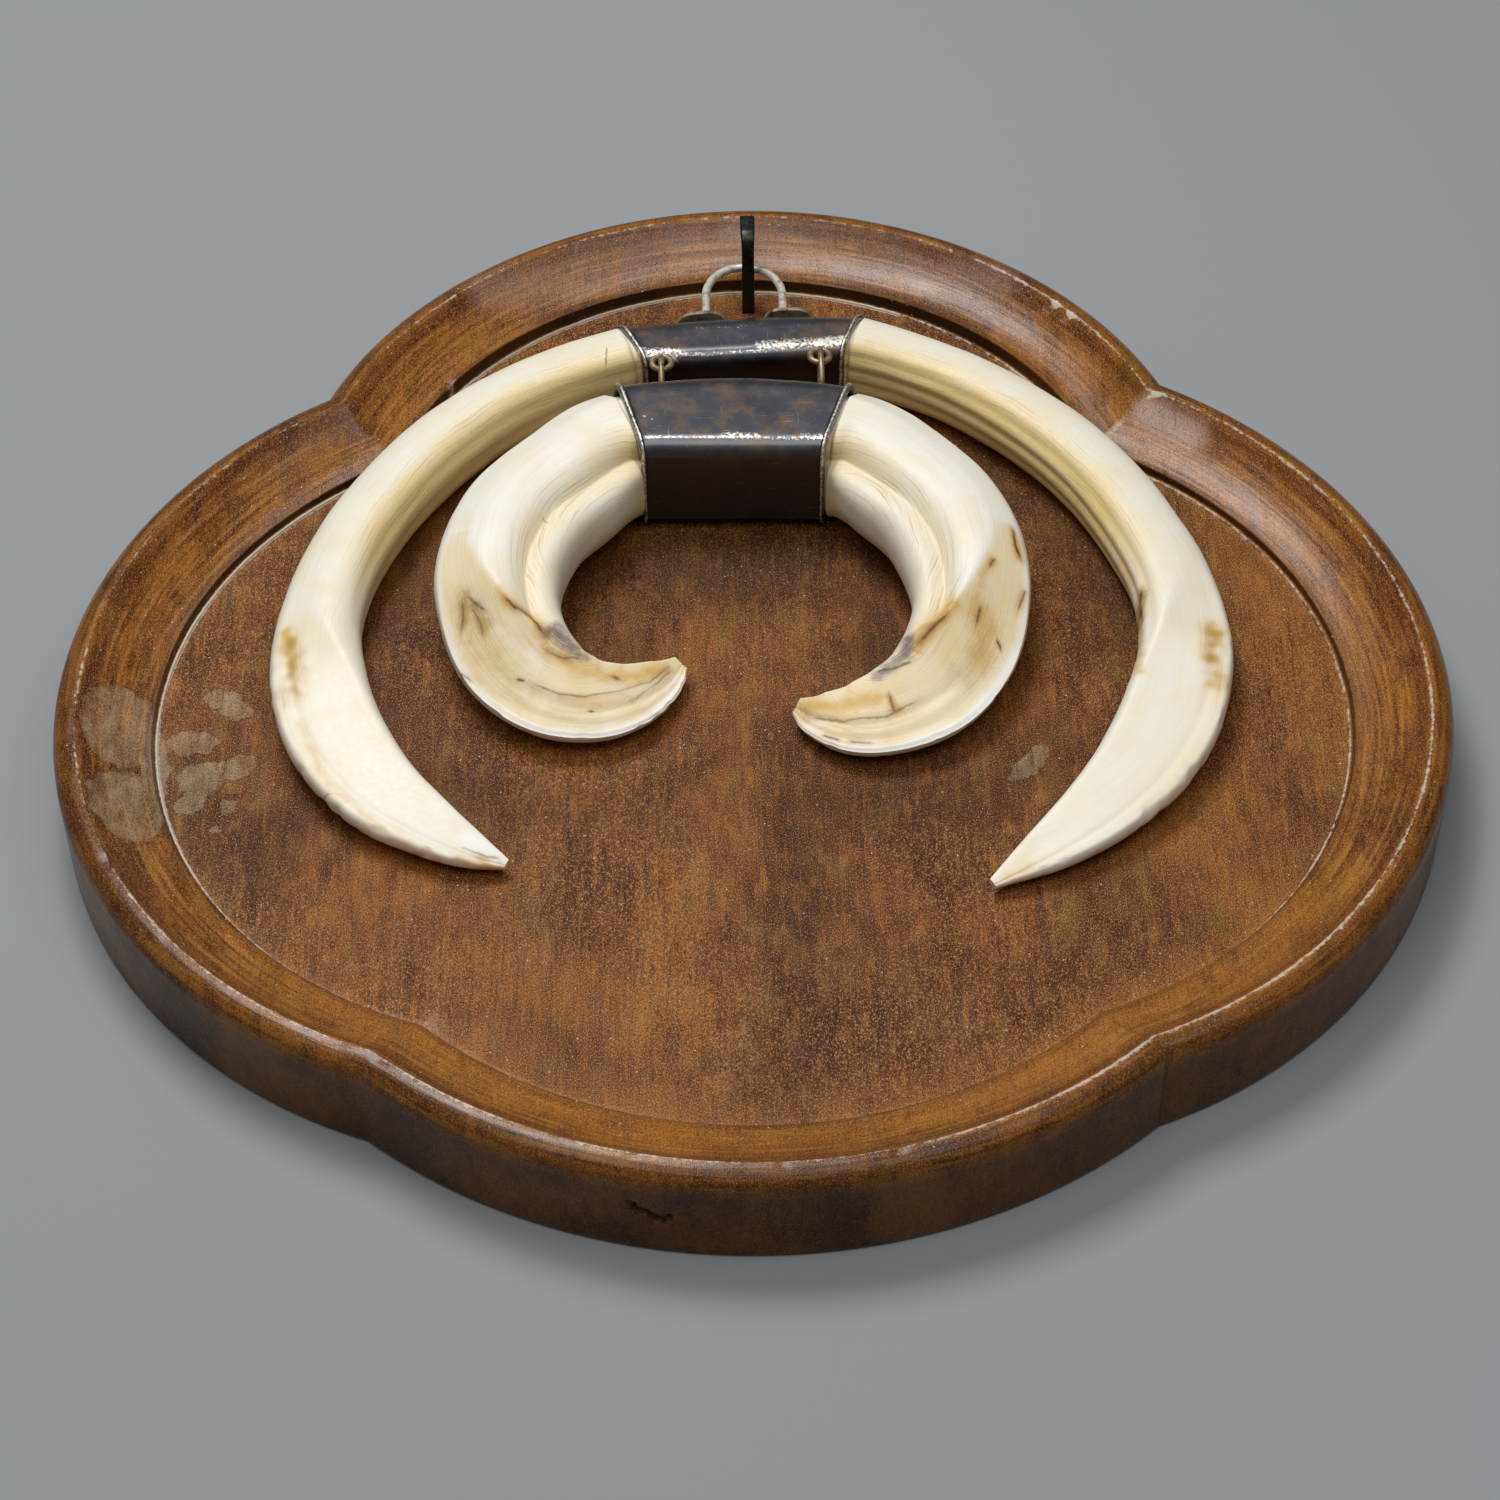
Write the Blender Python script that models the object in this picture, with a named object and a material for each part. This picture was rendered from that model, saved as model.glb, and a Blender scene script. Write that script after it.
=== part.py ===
"""Boar tusk trophy: two pairs of tusks in silver collars, hung on a hook in a moulded quatrefoil board.

The plaque lies on its back: +Z points out of the board's front, +Y to the top of the board, and the
origin is the middle of the board's outline on its back. Lengths are in millimetres up to add_object.
"""
import math

import bmesh
import bpy
import numpy as np
from mathutils import Vector

MM = 0.001
GAP = 0.3                       # clearance between pieces that touch

# Board: four lobes, each an arc about its own centre, and the moulding cut into their rim
HALF_WIDTH = 160.0
HALF_LENGTH = 156.9
TOP_RADIUS = 111.2
SIDE_RADIUS = 118.3
LOW_RADIUS = 129.9
SIDE_LEVEL = -15.4              # y of the side lobes' centres
BOARD_THICKNESS = 25.7          # at the crest of the rim
EDGE_RADIUS = 4.5
COVE_START = 5.4                # inset of the hollow's outer and inner edges
COVE_END = 21.7
LIP_HEIGHT = 18.0
COVE_POINTS = 5
STEP_HEIGHT = 14.7
STEP_WIDTH = 1.0
SIDE_DROP = 1.7                 # from the lip to the step in the side and low lobes, where the hollow is deeper
DROP_FADE = (50.0, 100.0)       # y between which the lip rises to its full height in the top lobe
DRAFT = 0.2                     # how far the small upright steps lean in
FIELD = 14.0                    # height of the flat field inside the moulding
LOBE_SEGMENTS = 18

# Hook: a square bar driven into the field, its end bent towards the top of the board
HOOK_X = 1.5
HOOK_Y = 128.0
HOOK_REACH = 24.6               # above the field
HOOK_TONGUE = 7.4
HOOK_DEPTH = 8.0                # in the wood
HOOK_POINT = 3.0                # length of its tapered foot
HOOK_BEND = 2.2
HOOK_HALF = 1.6
HOOK_CHAMFER = 0.3              # of its corners, as a share of half its width
HOOK_TAPER = 0.8                # width of the foot's end and of the tongue's end, as shares of the shank's
HOOK_FLARE = 1.2

# Outer collar, which carries the long pair, and inner collar, which carries the curled pair.
# Each is a sleeve of sheet with a crisp front edge and a round back, and its back bows out by sag
SHEET = 0.9
OUTER_COLLAR = dict(middle=(-0.7, 97.8), turn=2.4, half_length=28.2, splay=20.0, half_depth=9.2,
                    half_height=9.0, front_corner=3.6, back_corner=8.2, sag=2.0)
INNER_COLLAR = dict(middle=(-3.2, 60.1), turn=-1.5, half_length=25.6, splay=14.7, half_depth=14.6,
                    half_height=13.3, front_corner=6.5, back_corner=8.0, sag=3.4)
RIM_OUT = 0.9
RIM_LENGTH = 1.5
RIM_SHAPE = ((0.0, 0.6), (0.3, 1.0), (0.8, 0.9), (1.0, 0.0))    # place along the rim and rise, as shares
SLEEVE_REACH = 0.6              # the plain sections between the rims, as a share of the half length
SLEEVE_SECTIONS = 4
FRONT_POINTS = 4                # on each rounded corner of a collar's section
BACK_POINTS = 6

# Bail that hangs on the hook, two links that join the collars, and the eyes they pass through
WIRE = 1.05
BAIL_X = 0.3
BAIL_HALF = 9.7
BAIL_MIDDLE = 117.6             # y where the round top meets the straight legs
BAIL_SLACK = 0.8                # between its top and the hook
BAIL_HEIGHTS = (29.3, 25.2)     # of the wire at its feet and at the hook
LEAF_REACH = (4.6, 17.4)        # ends of each leaf-shaped foot, from the bail's middle
LEAF_HEIGHTS = (22.5, 31.2)
LEAF_DROP = 3.4                 # of its curved top towards the ends
LEAF_THICKNESS = 1.1
LEAF_SECTIONS = 6
LINKS_X = (-20.6, 18.6)
LINK_HEIGHT = 32.0
LINK_WIRE = 0.75
EYE_WIRE = 0.8
EYE_RADIUS = 2.4
EYE_STAND = 1.7                 # from an eye's middle to the face it is soldered to
RING_SEGMENTS = 16
RING_SIDES = 6

# Tusks beyond their collar, to the tip: x, y, height of the centre, half width, half height
OUTER_LEFT = [
    (-45.0, 90.0, 23.6, 8.8, 8.2), (-62.0, 79.2, 23.2, 9.3, 8.3), (-76.5, 64.2, 22.9, 9.5, 8.3),
    (-88.0, 46.5, 22.8, 9.5, 8.2), (-96.0, 28.0, 22.7, 9.5, 8.1), (-100.2, 9.0, 22.6, 9.8, 7.9),
    (-99.9, -9.2, 22.2, 11.1, 7.5), (-94.6, -27.6, 21.6, 11.5, 6.9), (-85.0, -43.2, 20.7, 10.3, 5.9),
    (-73.0, -53.6, 19.6, 7.6, 4.6), (-63.0, -60.0, 18.4, 4.5, 3.2), (-55.6, -63.4, 17.4, 1.2, 1.3),
]
OUTER_RIGHT = [
    (41.0, 92.9, 23.6, 8.8, 8.2), (57.0, 83.1, 23.2, 9.3, 8.3), (71.5, 69.8, 22.9, 9.6, 8.3),
    (84.0, 53.0, 22.8, 9.7, 8.2), (93.2, 33.5, 22.7, 9.8, 8.1), (99.0, 14.0, 22.6, 10.0, 7.9),
    (100.0, -5.0, 22.2, 10.9, 7.6), (95.3, -24.0, 21.7, 11.7, 7.0), (87.0, -40.2, 21.0, 11.0, 6.2),
    (75.7, -53.4, 20.0, 8.7, 5.2), (63.6, -63.3, 18.8, 5.7, 3.8), (51.6, -71.6, 17.4, 1.2, 1.3),
]
INNER_LEFT = [
    (-37.4, 52.8, 28.0, 15.2, 12.8), (-43.4, 46.9, 27.9, 16.4, 12.8), (-53.0, 35.1, 27.5, 16.2, 12.4),
    (-58.7, 19.3, 27.0, 15.7, 12.0), (-58.8, 4.6, 26.0, 14.6, 11.0), (-54.1, -7.8, 24.8, 13.8, 9.8),
    (-45.9, -15.9, 23.4, 12.5, 8.6), (-36.6, -17.9, 22.0, 10.9, 7.2), (-28.0, -15.4, 20.8, 8.6, 5.8),
    (-20.8, -9.6, 19.6, 5.3, 4.2), (-16.8, -3.8, 18.6, 2.0, 2.2),
]
INNER_RIGHT = [
    (30.4, 52.2, 28.0, 15.0, 12.8), (36.6, 46.4, 27.9, 15.8, 12.8), (45.4, 34.4, 27.5, 15.6, 12.4),
    (50.4, 19.4, 27.0, 15.1, 12.0), (51.2, 5.0, 26.0, 13.8, 11.0), (47.6, -7.5, 24.8, 13.2, 9.8),
    (40.8, -17.6, 23.4, 12.4, 8.6), (31.5, -23.0, 22.0, 11.2, 7.4), (22.5, -24.2, 20.8, 9.2, 6.2),
    (14.8, -21.8, 19.6, 5.7, 4.6), (10.0, -18.2, 18.6, 2.0, 2.4),
]
ROOT_ENDS = (0.3, 0.7, 1.06)    # places of a root's sections, as shares of half its collar
ROOT_SLACK = 0.8                # between a root and the bore of its collar
ROOT_SQUARENESS = 4.2           # an inner tusk's root fills the collar that was closed round it
ROOT_FADE = (0.15, 0.24)        # places along the tusk between which that ends
STEPS = 2                       # sections for each row

# Sections of the tusks: angles run from the outside of the curl (0) over the top (90) to the inside (180)
OUTER_SIDES = 18
OUTER_SQUARENESS = 2.3          # power of the squared ellipse that a section starts from
OUTER_RIDGE = 115.0             # one of the three rounded ridges
OUTER_RISE = 0.045              # of the ridges, as a share of the section's reach
FLUTE_ANGLE = 165.0             # a shallow flute on the inner flank
FLUTE_DEPTH = 0.07
FLUTE_WIDTH = 17.0
OUTER_WORN = (0.52, 0.7)        # places along the tusk where grinding starts and is full
OUTER_PLANE = ((1.9, 1.3), (0.74, 0.34))    # the ground face's level and its fall to the outside, there
INNER_SIDES = 24
INNER_SQUARENESS = 2.4
GROOVE_ANGLES = (162.0, 128.0)  # of the deep groove, at the collar and from the bend on
GROOVE_BEND = 0.45              # place of that bend along the tusk
GROOVE_DEPTH = 0.3
GROOVE_WIDTH = 17.0
GROOVE_ENDS = (0.58, 0.66)      # where the groove and its rib run out
INNER_WORN = (0.43, 0.69)
INNER_PLANE = ((2.04, 1.5), (0.74, 0.92))
FURROW_ANGLE = 70.0             # a low furrow along the ground top
FURROW_DEPTH = 0.1
FURROW_WIDTH = 14.0


def clear_scene():
    for ob in list(bpy.data.objects):
        bpy.data.objects.remove(ob, do_unlink=True)


def make_collection(name):
    group = bpy.data.collections.new(name)
    bpy.context.scene.collection.children.link(group)
    return group


def make_material(name, colour, roughness, metallic=0.0):
    mat = bpy.data.materials.new(name)
    mat.use_nodes = True
    shader = mat.node_tree.nodes["Principled BSDF"]
    shader.inputs["Base Color"].default_value = (*colour, 1.0)
    shader.inputs["Roughness"].default_value = roughness
    shader.inputs["Metallic"].default_value = metallic
    mat.diffuse_color = (*colour, 1.0)
    return mat


def add_object(name, bm, mat, group, sharp_angle=40):
    """Turn a bmesh in millimetres into a named object in metres."""
    bmesh.ops.scale(bm, vec=(MM, MM, MM), verts=bm.verts)
    bmesh.ops.recalc_face_normals(bm, faces=bm.faces)
    mesh = bpy.data.meshes.new(name)
    bm.to_mesh(mesh)
    bm.free()
    mesh.materials.append(mat)
    mesh.shade_smooth()
    mesh.set_sharp_from_angle(angle=math.radians(sharp_angle))
    ob = bpy.data.objects.new(name, mesh)
    group.objects.link(ob)
    return ob


def loft(rings, closed=False):
    """Skin a list of rings with the same number of points; the ends get caps unless the rings close."""
    bm = bmesh.new()
    loops = [[bm.verts.new(p) for p in ring] for ring in rings]
    pairs = list(zip(loops, loops[1:]))
    if closed:
        pairs.append((loops[-1], loops[0]))
    for low, high in pairs:
        for i in range(len(low)):
            j = (i + 1) % len(low)
            bm.faces.new((low[i], low[j], high[j], high[i]))
    if not closed:
        bm.faces.new(list(reversed(loops[0])))
        bm.faces.new(loops[-1])
    return bm


def join(target, piece):
    """Fuse piece into target and drop the separate object."""
    union = target.modifiers.new("join", "BOOLEAN")
    union.operation = "UNION"
    union.object = piece
    depsgraph = bpy.context.evaluated_depsgraph_get()
    fused = bpy.data.meshes.new_from_object(target.evaluated_get(depsgraph))
    target.modifiers.clear()
    target.data = fused
    bpy.data.objects.remove(piece, do_unlink=True)


def lobes(inset):
    """Centre and radius of each lobe, anticlockwise from the right."""
    return [
        ((HALF_WIDTH - SIDE_RADIUS, SIDE_LEVEL), SIDE_RADIUS - inset),
        ((0.0, HALF_LENGTH - TOP_RADIUS), TOP_RADIUS - inset),
        ((SIDE_RADIUS - HALF_WIDTH, SIDE_LEVEL), SIDE_RADIUS - inset),
        ((0.0, LOW_RADIUS - HALF_LENGTH), LOW_RADIUS - inset),
    ]


def outer_crossing(one, two):
    """The point where two lobes meet, on the side away from the board's middle."""
    (ax, ay), ra = one
    (bx, by), rb = two
    span = math.hypot(bx - ax, by - ay)
    along = (ra * ra - rb * rb + span * span) / (2 * span)
    away = math.sqrt(ra * ra - along * along)
    ux, uy = (bx - ax) / span, (by - ay) / span
    ends = [(ax + along * ux - s * away * uy, ay + along * uy + s * away * ux) for s in (-1, 1)]
    return max(ends, key=lambda p: math.hypot(*p))


def board_outline(inset):
    """The board's outline, moved in by inset, with a corner in each notch between lobes."""
    ring = lobes(inset)
    corners = [outer_crossing(ring[i - 1], ring[i]) for i in range(4)]
    points = []
    for i, ((cx, cy), radius) in enumerate(ring):
        start, end = corners[i], corners[(i + 1) % 4]
        first = math.atan2(start[1] - cy, start[0] - cx)
        sweep = (math.atan2(end[1] - cy, end[0] - cx) - first) % (2 * math.pi)
        for k in range(LOBE_SEGMENTS):
            angle = first + sweep * k / LOBE_SEGMENTS
            points.append((cx + radius * math.cos(angle), cy + radius * math.sin(angle)))
    return points


def moulding_profile():
    """Inset, height and share of the lip's sinking, from the back edge, over the rim and down to the field."""
    profile = [(0.0, 0.0, 0.0)]
    for degrees in (0, 30, 60, 90):
        a = math.radians(degrees)
        profile.append((EDGE_RADIUS * (1 - math.cos(a)), BOARD_THICKNESS - EDGE_RADIUS * (1 - math.sin(a)), 0.0))
    for k in range(COVE_POINTS):
        t = k / (COVE_POINTS - 1)
        fall = (BOARD_THICKNESS - LIP_HEIGHT) * (1 - t) ** 2
        profile.append((COVE_START + (COVE_END - COVE_START) * t, LIP_HEIGHT + fall, t ** 1.5))
    profile.append((COVE_END + DRAFT, STEP_HEIGHT, 0.0))
    profile.append((COVE_END + STEP_WIDTH, STEP_HEIGHT, 0.0))
    profile.append((COVE_END + STEP_WIDTH + DRAFT, FIELD, 0.0))
    return profile


def make_board(mat, group, cutters):
    sinking = LIP_HEIGHT - STEP_HEIGHT - SIDE_DROP
    rings = []
    for inset, height, share in moulding_profile():
        rings.append([(x, y, height - share * sinking * (1 - ramp(y, *DROP_FADE)))
                      for x, y in board_outline(inset)])
    board = add_object("board", loft(rings), mat, group, sharp_angle=25)
    hole = bmesh.new()
    bmesh.ops.create_cube(hole, size=1.0)
    side = 2 * (HOOK_HALF + GAP)
    bmesh.ops.scale(hole, vec=(side, side, 2 * (HOOK_DEPTH + GAP)), verts=hole.verts)
    bmesh.ops.translate(hole, vec=(HOOK_X, HOOK_Y, FIELD), verts=hole.verts)
    cutter = add_object("hook_hole", hole, mat, cutters)
    cutter.hide_render = True
    cutter.display_type = "WIRE"
    cut = board.modifiers.new("hook hole", "BOOLEAN")
    cut.object = cutter
    return board


def chamfered_square(half, chamfer):
    """Corners of a square whose own corners are cut off, anticlockwise."""
    near = half - chamfer
    return [(half, -near), (half, near), (near, half), (-near, half),
            (-half, near), (-half, -near), (-near, -half), (near, -half)]


def make_hook(mat, group):
    """Square bar: straight up from the field, a tight bend, and a short tongue that widens a little."""
    foot = FIELD - HOOK_DEPTH
    top = FIELD + HOOK_REACH - HOOK_HALF
    stations = [(HOOK_Y, foot, 90, HOOK_TAPER), (HOOK_Y, foot + HOOK_POINT, 90, 1.0)]
    for lean in (90, 60, 30, 0):
        a = math.radians(lean)
        size = 1 + 0.5 * (HOOK_FLARE - 1) * (1 - lean / 90)
        y, z = HOOK_Y + HOOK_BEND * (1 - math.sin(a)), top - HOOK_BEND * (1 - math.cos(a))
        stations.append((y, z, lean, size))
    stations.append((HOOK_Y + HOOK_TONGUE, top, 0, HOOK_FLARE))
    rings = []
    for y, z, lean, size in stations:
        half = HOOK_HALF * size
        a = math.radians(lean)
        across = Vector((0, math.sin(a), -math.cos(a)))
        square = chamfered_square(half, HOOK_CHAMFER * half)
        rings.append([Vector((HOOK_X + u, y, z)) + across * v for u, v in square])
    return add_object("hook", loft(rings), mat, group, sharp_angle=25)


def collar_section(spec, grow):
    """Points of a collar's section, anticlockwise: u runs to the back and v up."""
    depth, height = spec["half_depth"] + grow, spec["half_height"] + grow
    points = []
    for quarter in range(4):
        back = quarter in (0, 3)
        radius = spec["back_corner" if back else "front_corner"] + grow
        count = BACK_POINTS if back else FRONT_POINTS
        u = (depth - radius) * (1 if back else -1)
        v = (height - radius) * (1 if quarter < 2 else -1)
        for k in range(count):
            a = math.radians(90 * quarter + 90 * k / (count - 1))
            points.append((u + radius * math.cos(a), v + radius * math.sin(a)))
    return points


def collar_height(spec):
    return FIELD + GAP + RIM_OUT + spec["half_height"]


def to_board(spec, x, y):
    """A place beside a collar's middle, turned and moved to where the collar lies on the board."""
    mx, my = spec["middle"]
    turn = math.radians(spec["turn"])
    return mx + x * math.cos(turn) - y * math.sin(turn), my + x * math.sin(turn) + y * math.cos(turn)


def collar_ring(spec, s, grow):
    """One section of a collar; s runs from -1 at its left end to 1 at its right end."""
    lean = math.tan(math.radians(spec["splay"]) * s)
    ring = []
    for u, v in collar_section(spec, grow):
        share = 0.5 + 0.5 * u / spec["half_depth"]
        x, y = to_board(spec, spec["half_length"] * s + u * lean, u - spec["sag"] * share * s * s)
        ring.append((x, y, collar_height(spec) + v))
    return ring


def collar_back(spec, x):
    """y of a collar's back, half way up, at a given x."""
    offset = x - spec["middle"][0]
    reach = spec["half_length"] + spec["half_depth"] * math.tan(math.radians(spec["splay"]))
    y = spec["half_depth"] - spec["sag"] * (offset / reach) ** 2
    return spec["middle"][1] + y + offset * math.tan(math.radians(spec["turn"]))


def collar_front(spec, x, z):
    """y of a collar's front at a given x and height, also where its top edge rounds over."""
    offset = x - spec["middle"][0]
    corner = spec["front_corner"]
    over = max(0.0, z - collar_height(spec) - spec["half_height"] + corner)
    recess = corner - math.sqrt(corner ** 2 - over ** 2)
    return spec["middle"][1] - spec["half_depth"] + recess + offset * math.tan(math.radians(spec["turn"]))


def make_collar(name, spec, eyes, mat, group):
    """A sheet sleeve, open at both ends, with a turned-out rim at each mouth and small eyes."""
    rim = RIM_LENGTH / spec["half_length"]
    flare = [(-1 + rim * place, RIM_OUT * rise) for place, rise in RIM_SHAPE]
    outside = flare + [(s, 0.0) for s in np.linspace(-SLEEVE_REACH, SLEEVE_REACH, SLEEVE_SECTIONS)]
    outside += [(-s, grow) for s, grow in reversed(flare)]
    rings = [collar_ring(spec, s, grow) for s, grow in outside]
    rings += [collar_ring(spec, s, -SHEET) for s in np.linspace(1, -1, SLEEVE_SECTIONS)]
    collar = add_object(name, loft(rings, closed=True), mat, group)
    for x, y in eyes:
        join(collar, make_ring(f"{name}_eye", (x, y, LINK_HEIGHT), EYE_RADIUS, EYE_WIRE, False, mat, group))
    return collar


def make_ring(name, centre, radius, wire, upright, mat, group):
    """Wire ring, lying flat or standing on edge along Y."""
    bpy.ops.mesh.primitive_torus_add(
        major_radius=radius * MM, minor_radius=wire * MM,
        major_segments=RING_SEGMENTS, minor_segments=RING_SIDES,
        location=[c * MM for c in centre], rotation=(0, math.radians(90) if upright else 0, 0))
    ring = bpy.context.object
    ring.name = name
    for other in list(ring.users_collection):
        other.objects.unlink(ring)
    group.objects.link(ring)
    ring.data.materials.append(mat)
    ring.data.shade_smooth()
    return ring


def make_leaf(side, mat, group):
    """Thin leaf-shaped plate that stands on the back of the outer collar."""
    near, far = LEAF_REACH
    foot, top = LEAF_HEIGHTS
    rings = []
    for k in range(LEAF_SECTIONS):
        t = 0.5 - 0.5 * math.cos(math.pi * k / (LEAF_SECTIONS - 1))
        x = BAIL_X + side * (near + (far - near) * t)
        crest = top - LEAF_DROP * (2 * t - 1) ** 4
        back = collar_back(OUTER_COLLAR, x) + GAP
        corners = ((0, foot), (LEAF_THICKNESS, foot), (LEAF_THICKNESS, crest), (0, crest))
        rings.append([(x, back + dy, z) for dy, z in corners])
    return add_object(f"leaf {side}", loft(rings), mat, group)


def make_bail(mat, group):
    """Wire bail: a round top and two straight legs down to leaf-shaped feet on the outer collar."""
    tip = HOOK_Y + HOOK_HALF + BAIL_SLACK + WIRE
    plate = GAP + LEAF_THICKNESS / 2
    feet = [collar_back(OUTER_COLLAR, BAIL_X + side * BAIL_HALF) + plate for side in (-1, 1)]
    path = [(BAIL_X - BAIL_HALF, feet[0])]
    for degrees in range(180, -1, -15):
        a = math.radians(degrees)
        path.append((BAIL_X + BAIL_HALF * math.cos(a), BAIL_MIDDLE + (tip - BAIL_MIDDLE) * math.sin(a)))
    path.append((BAIL_X + BAIL_HALF, feet[1]))
    curve = bpy.data.curves.new("bail wire", "CURVE")
    curve.dimensions = "3D"
    curve.bevel_depth = WIRE * MM
    curve.bevel_resolution = 2
    curve.use_fill_caps = True
    spline = curve.splines.new("POLY")
    spline.points.add(len(path) - 1)
    low, high = BAIL_HEIGHTS[1], BAIL_HEIGHTS[0]
    for point, (x, y) in zip(spline.points, path):
        z = high + (low - high) * (y - feet[0]) / (tip - feet[0])
        point.co = (x * MM, y * MM, z * MM, 1.0)
    wire = bpy.data.objects.new("bail wire", curve)
    group.objects.link(wire)
    depsgraph = bpy.context.evaluated_depsgraph_get()
    bm = bmesh.new()
    bm.from_mesh(bpy.data.meshes.new_from_object(wire.evaluated_get(depsgraph)))
    bmesh.ops.remove_doubles(bm, verts=bm.verts, dist=0.00001)
    bmesh.ops.scale(bm, vec=(1 / MM, 1 / MM, 1 / MM), verts=bm.verts)
    bpy.data.objects.remove(wire, do_unlink=True)
    bail = add_object("hanging_ring", bm, mat, group)
    for side in (-1, 1):
        join(bail, make_leaf(side, mat, group))
    return bail


def root_rows(spec, side):
    """Rows of a tusk inside its collar; side is -1 for the left tusk and 1 for the right."""
    slack = SHEET + ROOT_SLACK
    rows = []
    for share in ROOT_ENDS:
        drop = 0.5 * spec["sag"] * share ** 2
        x, y = to_board(spec, side * share * spec["half_length"], -drop)
        half_width = spec["half_depth"] - slack - drop
        rows.append((x, y, collar_height(spec), half_width, spec["half_height"] - slack))
    return rows


def through(rows):
    """A smooth curve through the rows, with STEPS pieces between each two."""
    table = np.array(rows, float)
    padded = np.vstack([2 * table[0] - table[1], table, 2 * table[-1] - table[-2]])
    out = []
    for i in range(len(table) - 1):
        a, b, c, d = padded[i:i + 4]
        for t in np.arange(STEPS) / STEPS:
            out.append(0.5 * (2 * b + (c - a) * t + (2 * a - 5 * b + 4 * c - d) * t * t
                              + (3 * b - 3 * c + d - a) * t ** 3))
    out.append(table[-1])
    return np.array(out)


def ramp(value, start, end):
    """0 before start, 1 after end and a smooth rise between."""
    t = min(1.0, max(0.0, (value - start) / (end - start)))
    return t * t * (3 - 2 * t)


def squared_ellipse(half_width, half_height, angle, power):
    """Distance from the middle of a squared ellipse to its edge."""
    c = abs(math.cos(angle) / half_width) ** power
    s = abs(math.sin(angle) / half_height) ** power
    return (c + s) ** (-1 / power)


def dip(angle, centre, width):
    """1 at the centre of a groove, falling to 0 on both sides of it; all in radians."""
    off = (angle - centre + math.pi) % (2 * math.pi) - math.pi
    return math.exp(-(off / width) ** 2)


def ground_level(u, half_width, half_height, worn, planes):
    """Height of the ground face at u: a plane that starts on the outer shoulder and spreads over the top."""
    (level, fall), (last_level, last_fall) = planes
    level += (last_level - level) * worn
    fall += (last_fall - fall) * worn
    return half_height * (level - fall * (0.5 + 0.5 * u / half_width))


def outer_section(half_width, half_height, along):
    """Rounded triangle, as a lower canine has, with a fluted inner flank and a ground top near the tip."""
    worn = ramp(along, *OUTER_WORN)
    ridge, flute = math.radians(OUTER_RIDGE), math.radians(FLUTE_ANGLE)
    points = []
    for k in range(OUTER_SIDES):
        a = ridge + 2 * math.pi * k / OUTER_SIDES
        reach = squared_ellipse(half_width, half_height, a, OUTER_SQUARENESS)
        reach *= 1 + OUTER_RISE * math.cos(3 * (a - ridge))
        reach *= 1 - FLUTE_DEPTH * (1 - worn) * dip(a, flute, math.radians(FLUTE_WIDTH))
        u = reach * math.cos(a)
        points.append((u, min(reach * math.sin(a), ground_level(u, half_width, half_height, worn, OUTER_PLANE))))
    return points


def inner_section(half_width, half_height, along):
    """Thick outer lobe and slim inner rib with a deep groove between, then a ground top with a furrow."""
    worn = ramp(along, *INNER_WORN)
    rib = 1 - ramp(along, *GROOVE_ENDS)
    near, far = GROOVE_ANGLES
    groove = math.radians(near + (far - near) * ramp(along, 0.0, GROOVE_BEND))
    furrow = math.radians(FURROW_ANGLE)
    sink = FURROW_DEPTH * half_height * worn
    power = ROOT_SQUARENESS + (INNER_SQUARENESS - ROOT_SQUARENESS) * ramp(along, *ROOT_FADE)
    points = []
    for k in range(INNER_SIDES):
        a = groove + 2 * math.pi * k / INNER_SIDES
        reach = squared_ellipse(half_width, half_height, a, power)
        reach *= 1 - GROOVE_DEPTH * rib * dip(a, groove, math.radians(GROOVE_WIDTH))
        low = sink * dip(a, furrow, math.radians(FURROW_WIDTH))
        u = reach * math.cos(a)
        level = ground_level(u, half_width, half_height, worn, INNER_PLANE)
        points.append((u, min(reach * math.sin(a), level) - low))
    return points


def make_tusk(name, rows, side, section, mat, group):
    """Loft along the rows; side is -1 for a left tusk and 1 for a right one."""
    table = through(rows)
    centres = [Vector(row[:3]) for row in table]
    last = len(table) - 1
    rings = []
    for i, (half_width, half_height) in enumerate(table[:, 3:]):
        ahead = (centres[min(i + 1, last)] - centres[max(i - 1, 0)]).normalized()
        outward = ahead.cross(Vector((0, 0, 1))).normalized() * -side
        upward = ahead.cross(outward) * side
        outline = section(half_width, half_height, i / last)
        rings.append([centres[i] + outward * u + upward * v for u, v in outline])
    return add_object(name, loft(rings), mat, group, sharp_angle=50)


def hang_on_hinge(eyes, pieces, group):
    """Parent the pieces to an empty on the line through the eyes, about which they lift."""
    (ax, ay), (bx, by) = eyes
    hinge = bpy.data.objects.new("inner pair hinge", None)
    hinge.location = [c * MM for c in ((ax + bx) / 2, (ay + by) / 2, LINK_HEIGHT)]
    hinge.rotation_euler.z = math.atan2(by - ay, bx - ax)
    group.objects.link(hinge)
    bpy.context.view_layer.update()
    for piece in pieces:
        piece.parent = hinge
        piece.matrix_parent_inverse = hinge.matrix_world.inverted()


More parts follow.
